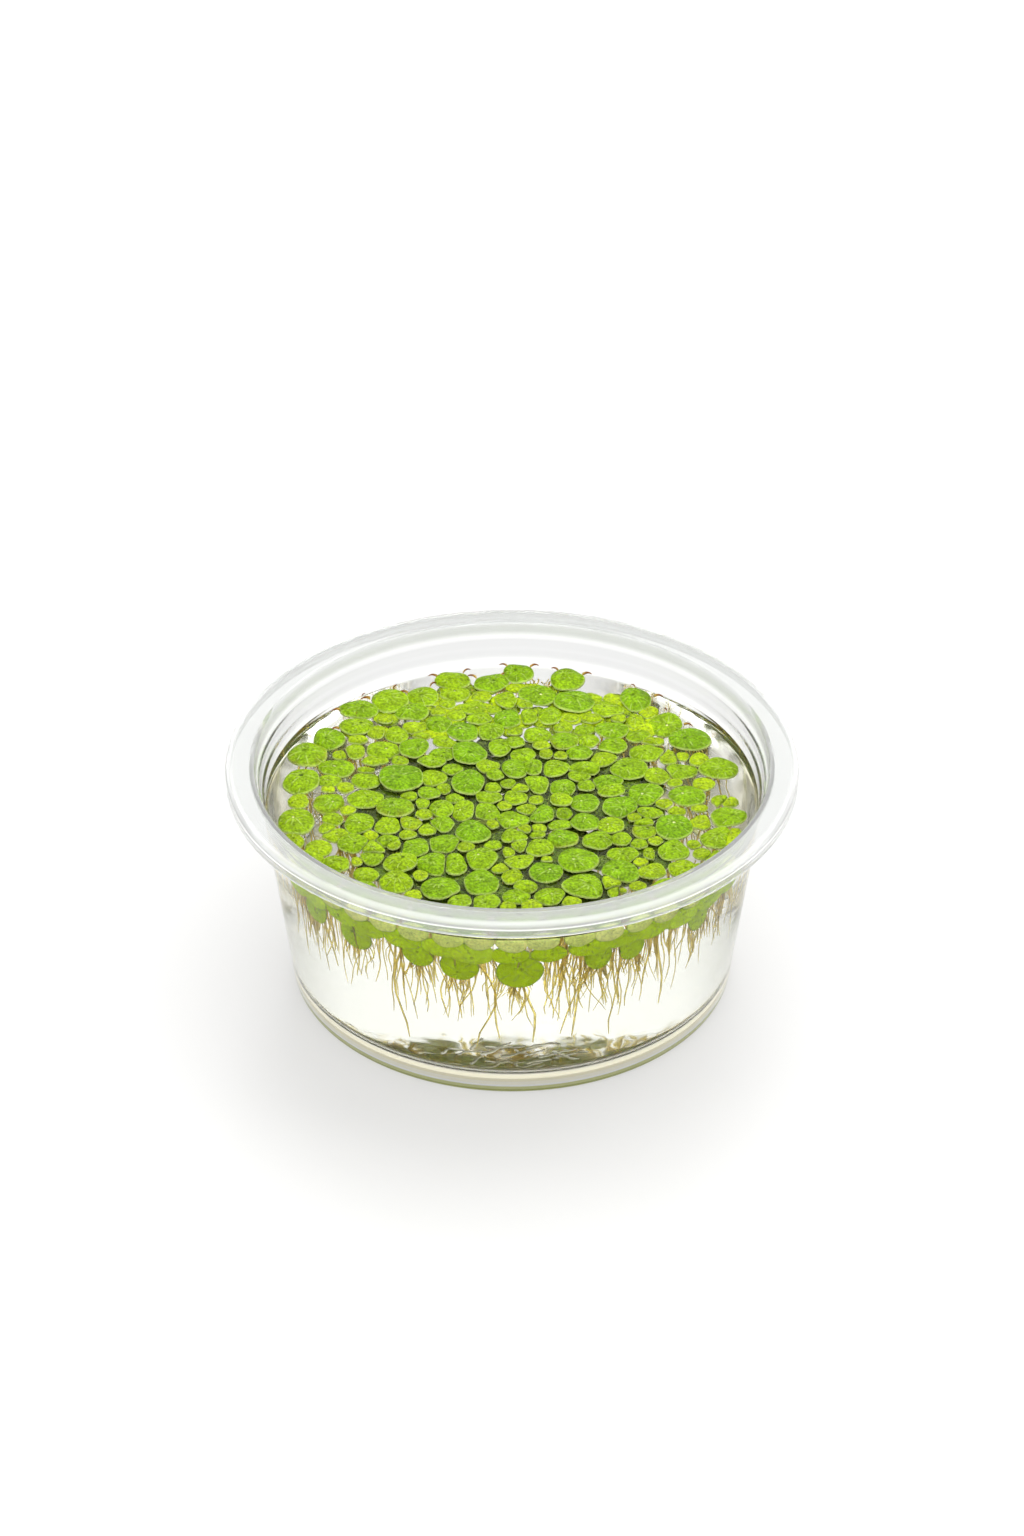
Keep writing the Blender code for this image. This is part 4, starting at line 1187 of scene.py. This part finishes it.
def sunken_pieces(kit, across, level, width, height):
    """A frond that hangs upright inside the front wall, with roots that trail behind it."""
    chance = kit.chance
    behind, hang, count = 0.9, 5.5, 12
    away = SUNKEN_REACH - SUNKEN_LEAN * (level - SUNKEN_LOW)
    angle = math.atan2(-math.sqrt(SUNKEN_REACH**2 - across**2), across)
    # Values of 1.7 to 2 give the sunken frond the brighter under-water colour, which is painted
    # light
    pieces = [upright_frond(kit, angle, away, level, width, height, chance.uniform(1.7, 2.0))]
    start = (across, -math.sqrt((away - behind) ** 2 - across**2))
    for _ in range(count):
        end = stray(chance, start, 0.9, 0.5, ROOT_END, back=0.4)
        tip = level - hang + chance.uniform(0.0, 3.0)
        pieces.append(bent_root(kit, (*start, level - 0.4), (*end, tip)))
    return pieces


def curved_scale(kit, start, middle, end):
    """Copy the root as a thick scale that curves from its start over a middle to its end."""
    item, points = copy_of(kit.root, kit.hair)
    along = -points[:, 2][:, None]
    path = (1.0 - along) ** 2 * np.array(start) + along**2 * np.array(end)
    path = path + 2.0 * along * (1.0 - along) * np.array(middle)
    slim = (1.0 - 0.6 * along[:, 0]) * kit.chance.uniform(0.8, 1.2)
    thick = kit.look.scale_width / MM / 2.0 * slim
    path[:, 1] += points[:, 0] * thick
    path[:, 2] += points[:, 1] * thick
    set_points(item, path, (0.0, np.clip(0.35 + 1.3 * along[:, 0], 0.0, 1.0), 0.0))
    return item


def brown_scales(kit, frond):
    """The thin red-brown scales that curl away from the back edge of a frond."""
    foot, crest, edge = 26.8, 27.25, 0.36
    distance = math.hypot(frond[0], frond[1])
    outward = (frond[0] / distance, frond[1] / distance)

    def beyond(place, out, sideways):
        return (
            place[0] + out * outward[0] - sideways * outward[1],
            place[1] + out * outward[1] + sideways * outward[0])

    scales = []
    for side in (-1.0, 1.0):
        start = beyond(frond, edge * frond[3], side * edge * frond[2])
        middle = held_in(*beyond(start, 0.5, side * 0.55), SCALE_END)
        end = held_in(*beyond(start, 0.55, side * 1.25), SCALE_END)
        scales.append(curved_scale(kit, (*start, foot), (*middle, crest), (*end, foot)))
    return scales


def grow_plant(kit, node, colony, everyone, sunken):
    """The pieces of one plant: its fronds, the sunken ones among them, its roots and scales."""
    mother, lowest = colony[0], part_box(node)[0][2] / MM
    low, high = YOUNG_TIPS
    pieces = [floating_frond(kit, frond, everyone, colony) for frond in colony]
    for frond in sunken:
        pieces += sunken_pieces(kit, *frond)
    tip = (*mother[:2], lowest)
    for root in LONG_ROOTS:
        if math.hypot(root[0] - mother[0], root[1] - mother[1]) < ROOT_NEAR:
            tip = root
    count = FRONT_ROOTS if mother[1] < FRONT_LINE else OTHER_ROOTS
    pieces += root_tuft(kit, mother, tip, count)
    for young in colony[1:]:
        level = min(max(lowest + kit.chance.uniform(0.0, 3.0), low), high)
        pieces += root_tuft(kit, young, (*young[:2], level), count // 3)
    for frond in colony:
        if frond[1] > SCALE_LINE and math.hypot(frond[0], frond[1]) > SCALE_RING:
            pieces += brown_scales(kit, frond)
    return pieces


def staggered(chance, rows, first, apart, spacing, uneven):
    """Places in staggered rows, each of them a little off by chance."""
    for row in rows:
        for step in range(-7, 8):
            across = spacing * (step + 0.5 * (row % 2)) + chance.uniform(-uneven[0], uneven[0])
            yield across, first + apart * row + chance.uniform(-uneven[1], uneven[1])


def pushed_under(kit, places, widths, age_and_light_range, depths):
    """Small fronds that the crowd has pushed under others."""
    chance = kit.chance
    pieces = []
    for place in places:
        width = chance.uniform(*widths)
        frond = (*place, width, width * chance.uniform(0.85, 1.1))
        item = floating_frond(
            kit, frond, [], [], chance.uniform(*age_and_light_range), models=kit.fronds[-1:] * 2)
        depth = chance.uniform(*depths)
        for vertex in item.data.vertices:
            vertex.co.z -= depth * MM
        pieces.append(item)
    return pieces


def pressed_places(chance):
    """The pressed rows' places: angle, level, width, height, distance out, age and light, roots.
    """
    places = []
    for (to_side, apart, uneven, middle, low, high, narrow, wide, shape, away, age_and_light,
            roots) in PRESSED_ROWS:
        for step in range(-to_side, to_side + 1):
            turn = math.radians(apart * step + chance.uniform(-uneven, uneven))
            level = middle + chance.uniform(low, high)
            width = chance.uniform(narrow, wide)
            places.append((turn - math.pi / 2.0, level, width, shape * width, away, age_and_light, roots))
    return places


def pressed_pieces(kit):
    """The fronds that are pressed to the front wall, with the roots that trail from them."""
    chance = kit.chance
    pieces = []
    for angle, level, width, height, away, age_and_light, roots in pressed_places(chance):
        age_and_light -= chance.uniform(0.0, 0.3)
        pieces.append(upright_frond(kit, angle, away, level, width, height, age_and_light))
        for _ in range(roots):
            out = 31.0 - chance.uniform(0.3, 3.0)
            turn = angle + chance.uniform(-0.08, 0.08)
            start = (out * math.cos(turn), out * math.sin(turn), level - 0.4)
            end = stray(chance, start, 0.9, 0.8, PRESSED_ROOT_END, back=0.4)
            pieces.append(bent_root(kit, start, (*end, level - chance.uniform(5.0, 12.5))))
    return pieces


def hanging_pieces(kit):
    """A few fronds and many short roots that hang under the back of the mat."""
    chance = kit.chance
    # The hanging fronds get the pale colour, painted light for the light through them from behind
    away, age_and_light, count, top = 27.9, 2.95, 60, 26.4
    pieces = [
        upright_frond(kit, math.radians(90.0 + turn), away, level, width, height, age_and_light)
        for turn, level, width, height in HANGING_FRONDS]
    for _ in range(count):
        start = (chance.uniform(-7.0, 7.0), chance.uniform(25.5, 29.0))
        end = (start[0] + chance.gauss(0.0, 0.6), start[1] + chance.gauss(0.0, 0.4))
        level = chance.uniform(22.4, 24.6) + 0.02 * start[0] ** 2
        pieces.append(bent_root(kit, (*start, top), (*end, level)))
    return pieces


def join_pieces(name, pieces, node_names):
    """Join copies into one piece of the plants, which may stand for a CAD node."""
    deselect()
    for piece in pieces:
        piece.select_set(True)
    bpy.context.view_layer.objects.active = pieces[0]
    bpy.ops.object.join()
    item = bpy.context.object
    item.name = name
    item.data.name = name
    ride(item, node_names)


def ride(item, node_names):
    """Put a piece on the body, and in place of the nodes it stands for."""
    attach(item, "root")
    if node_names:
        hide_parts(*node_names)


def set_world(scene, stage):
    """A white room, brighter overhead and behind the camera and greyer at the sides."""
    world = bpy.data.worlds.new("white room")
    world.use_nodes = True
    tree = world.node_tree
    way = tree.nodes.new("ShaderNodeTexCoord").outputs["Generated"]
    side, depth, height = wire(tree, "ShaderNodeSeparateXYZ", way).outputs
    sides = between(tree, maths(tree, "ABSOLUTE", side), 0.45, 0.9, 0.0, 0.4)
    front = between(tree, depth, -0.7, 0.0, 0.7, 0.0)
    high = between(tree, height, 0.5, 0.95, 0.0, 0.35)
    low = maths(
        tree, "MULTIPLY", between(tree, depth, -0.9, -0.3, 1.0, 0.0),
        between(tree, height, 0.3, 0.6, 1.0, 0.0))
    level = maths(tree, "SUBTRACT", maths(tree, "ADD", front, low, high), sides)
    level = maths(tree, "ADD", level, 1.1)
    grey = wire(tree, "ShaderNodeCombineXYZ", level, level, level).outputs[0]
    fill(tree, tree.nodes["Background"], {"Color": grey, "Strength": stage.sky})
    scene.world = world
    scene.view_settings.view_transform = "Standard"
    scene.view_settings.look = "None"
    scene.cycles.max_bounces = 40
    scene.cycles.transmission_bounces = 40
    scene.cycles.glossy_bounces = 8
    scene.cycles.diffuse_bounces = 5


def add_light(name, place, power, width):
    """Add a large soft light, a metre high, that faces the tub."""
    deselect()
    bpy.ops.object.light_add(type="AREA", location=place)
    light = bpy.context.object
    light.name = name
    light.data.shape = "RECTANGLE"
    light.data.size = width
    light.data.size_y = 1.0
    light.data.energy = power
    across, along, up = -place[0], -place[1], 0.02 - place[2]
    flat = math.hypot(across, along)
    light.rotation_euler = (
        math.atan2(flat, -up), 0.0, math.atan2(along, across) - math.pi / 2.0)


def add_camera(scene, stage):
    """Add the camera, level from side to side, in front of the tub and above it."""
    deselect()
    angle = stage.camera_height
    place = (
        0.0, -stage.camera_distance * math.cos(angle),
        stage.camera_aim + stage.camera_distance * math.sin(angle))
    bpy.ops.object.camera_add(location=place, rotation=(math.pi / 2.0 - angle, 0.0, 0.0))
    camera = bpy.context.object
    camera.data.lens = stage.lens
    camera.data.clip_start = 0.01
    scene.camera = camera


class DUCKWEED_OT_tub(Operator):
    """Turn the clear plastic tub with its rim, skirt, floor and foot"""

    bl_idname = "duckweed.tub"
    bl_label = "Clear tub"

    def execute(self, context):
        tub = context.scene.duckweed_tub
        item = spin_profile("clear_tub", tub_profile(tub), tub.steps, plastic_material(tub))
        ride(item, ["tub"])
        return {"FINISHED"}


class DUCKWEED_OT_water(Operator):
    """Turn the water, which climbs a little at the wall"""

    bl_idname = "duckweed.water"
    bl_label = "Water"

    def execute(self, context):
        tub, water = context.scene.duckweed_tub, context.scene.duckweed_water
        points = water_profile(tub, water)
        item = spin_profile("clear_water", points, tub.steps, water_material(water))
        ride(item, ["water"])
        return {"FINISHED"}


class DUCKWEED_OT_plants(Operator):
    """Grow the duckweed plants, with their joined fronds, their roots and brown scales"""

    bl_idname = "duckweed.plants"
    bl_label = "Duckweed plants"

    def execute(self, context):
        kit = Kit(context, 0)
        colonies, _, _, everyone = whole_mat()
        if len(colonies) != sum(name.startswith("plant_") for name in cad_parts):
            raise RuntimeError("the plants don't agree with the packed nodes")
        owners = [owner_of(sunken, colonies) for sunken in SUNKEN_FRONDS]
        for number, colony in enumerate(colonies):
            node = f"plant_{number + 1:02d}"
            kit.chance = random.Random(1000 + number)
            sunken = [one for one, owner in zip(SUNKEN_FRONDS, owners) if owner == number]
            pieces = grow_plant(kit, node, colony, everyone, sunken)
            join_pieces(f"duckweed_{number + 1:02d}", pieces, [node])
        kit.put_away()
        return {"FINISHED"}


class DUCKWEED_OT_loose(Operator):
    """Scatter the young fronds that float loose between the plants"""

    bl_idname = "duckweed.loose"
    bl_label = "Loose young fronds"

    def execute(self, context):
        kit = Kit(context, 77)
        _, loose, small, everyone = whole_mat()
        pieces = []
        for frond in loose:
            pieces.append(floating_frond(kit, frond, everyone, []))
            pieces += short_tuft(kit, frond, 8)
        for frond in small:
            pieces.append(floating_frond(kit, frond, everyone, []))
            if kit.chance.random() < 0.5:
                pieces += short_tuft(kit, frond, 2)
        join_pieces("loose_fronds", pieces, [])
        kit.put_away()
        return {"FINISHED"}


class DUCKWEED_OT_crowded(Operator):
    """Fill in the fronds that the crowd has pushed under the mat and down along the wall"""

    bl_idname = "duckweed.crowded"
    bl_label = "Crowded fronds"

    def execute(self, context):
        kit = Kit(context, 31)
        chance = kit.chance
        # The fronds under the middle of the mat take the dark colour, painted shade
        across, along, radius = DARK_SHADE_PATCH
        dull = [
            place for place in staggered(chance, range(-9, 6), 0.0, 3.0, 3.3, (0.7, 0.7))
            if math.hypot(place[0] - across, place[1] - along) < radius]
        pieces = pushed_under(kit, dull, (3.8, 4.8), (-0.4, -1.0), (0.9, 1.7))
        bright = [
            place for place in staggered(chance, range(5), 15.6, 2.6, 3.1, (0.6, 0.5))
            if math.hypot(*place) < BRIGHT_RADIUS and chance.random() < BRIGHT_SHARE]
        pieces += pushed_under(kit, bright, (2.8, 3.8), (0.7, 1.1), (0.35, 0.7))
        pieces += pressed_pieces(kit)
        pieces += hanging_pieces(kit)
        for across, along, level in CROWDED_ROOTS:
            pieces += root_tuft(kit, (across, along), (across, along + 0.4, level), 9)
        join_pieces("crowded_fronds", pieces, [])
        kit.put_away()
        return {"FINISHED"}


class DUCKWEED_OT_fallen(Operator):
    """Lay the root ends that have dropped to the floor of the tub"""

    bl_idname = "duckweed.fallen"
    bl_label = "Fallen root ends"

    def execute(self, context):
        kit = Kit(context, 5)
        floor = kit.tub.floor_top / MM
        pieces = []
        for across, along, span, turn in FALLEN_ROOTS:
            turn = math.radians(turn)
            start = (across, along, floor + 0.9)
            end = (across + math.cos(turn) * span, along + math.sin(turn) * span, floor + 1.0)
            pieces.append(bent_root(kit, start, end, 2.2, wander=2.0, pale=1.0))
        join_pieces("fallen_roots", pieces, [])
        kit.put_away()
        return {"FINISHED"}


class DUCKWEED_OT_stage(Operator):
    """Set the pale ground, the soft light and the camera"""

    bl_idname = "duckweed.stage"
    bl_label = "Ground, light and camera"

    def execute(self, context):
        stage = context.scene.duckweed_stage
        ground = start_circle("white_ground", 96, stage.ground_radius)
        bpy.ops.mesh.inset(thickness=0.7 * stage.ground_radius)
        bpy.ops.object.mode_set(mode="OBJECT")
        ground.data.materials.append(ground_material(stage))
        set_world(context.scene, stage)
        add_light("large light", (0.25, 0.5, 1.2), stage.key_power, 1.3)
        add_light("left light", (-1.2, -0.1, 0.55), stage.side_power, 0.35)
        add_light("right light", (1.2, 0.1, 0.55), stage.side_power, 0.35)
        add_camera(context.scene, stage)
        return {"FINISHED"}


OPERATORS = (
    DUCKWEED_OT_tub, DUCKWEED_OT_water, DUCKWEED_OT_plants, DUCKWEED_OT_loose,
    DUCKWEED_OT_crowded, DUCKWEED_OT_fallen, DUCKWEED_OT_stage,
)


class DUCKWEED_PT_panel(Panel):
    """The pieces of the tub of duckweed"""

    bl_label = "Duckweed in a Tub"
    bl_idname = "DUCKWEED_PT_panel"
    bl_space_type = "VIEW_3D"
    bl_region_type = "UI"
    bl_category = "Duckweed"

    def draw(self, context):
        for operator in OPERATORS:
            self.layout.operator(operator.bl_idname)


GROUPS = {
    "duckweed_tub": TubSizes, "duckweed_water": WaterSizes, "duckweed_plants": PlantLook,
    "duckweed_stage": StageSizes,
}
CLASSES = (*GROUPS.values(), *OPERATORS, DUCKWEED_PT_panel)


def register():
    for one in CLASSES:
        bpy.utils.register_class(one)
    for name, group in GROUPS.items():
        setattr(bpy.types.Scene, name, PointerProperty(type=group))


def unregister():
    for name in GROUPS:
        delattr(bpy.types.Scene, name)
    for one in reversed(CLASSES):
        bpy.utils.unregister_class(one)


def main():
    register()
    bpy.ops.duckweed.tub()
    bpy.ops.duckweed.water()
    bpy.ops.duckweed.plants()
    bpy.ops.duckweed.loose()
    bpy.ops.duckweed.crowded()
    bpy.ops.duckweed.fallen()
    bpy.ops.duckweed.stage()
    deselect()


if __name__ == "__main__":
    main()
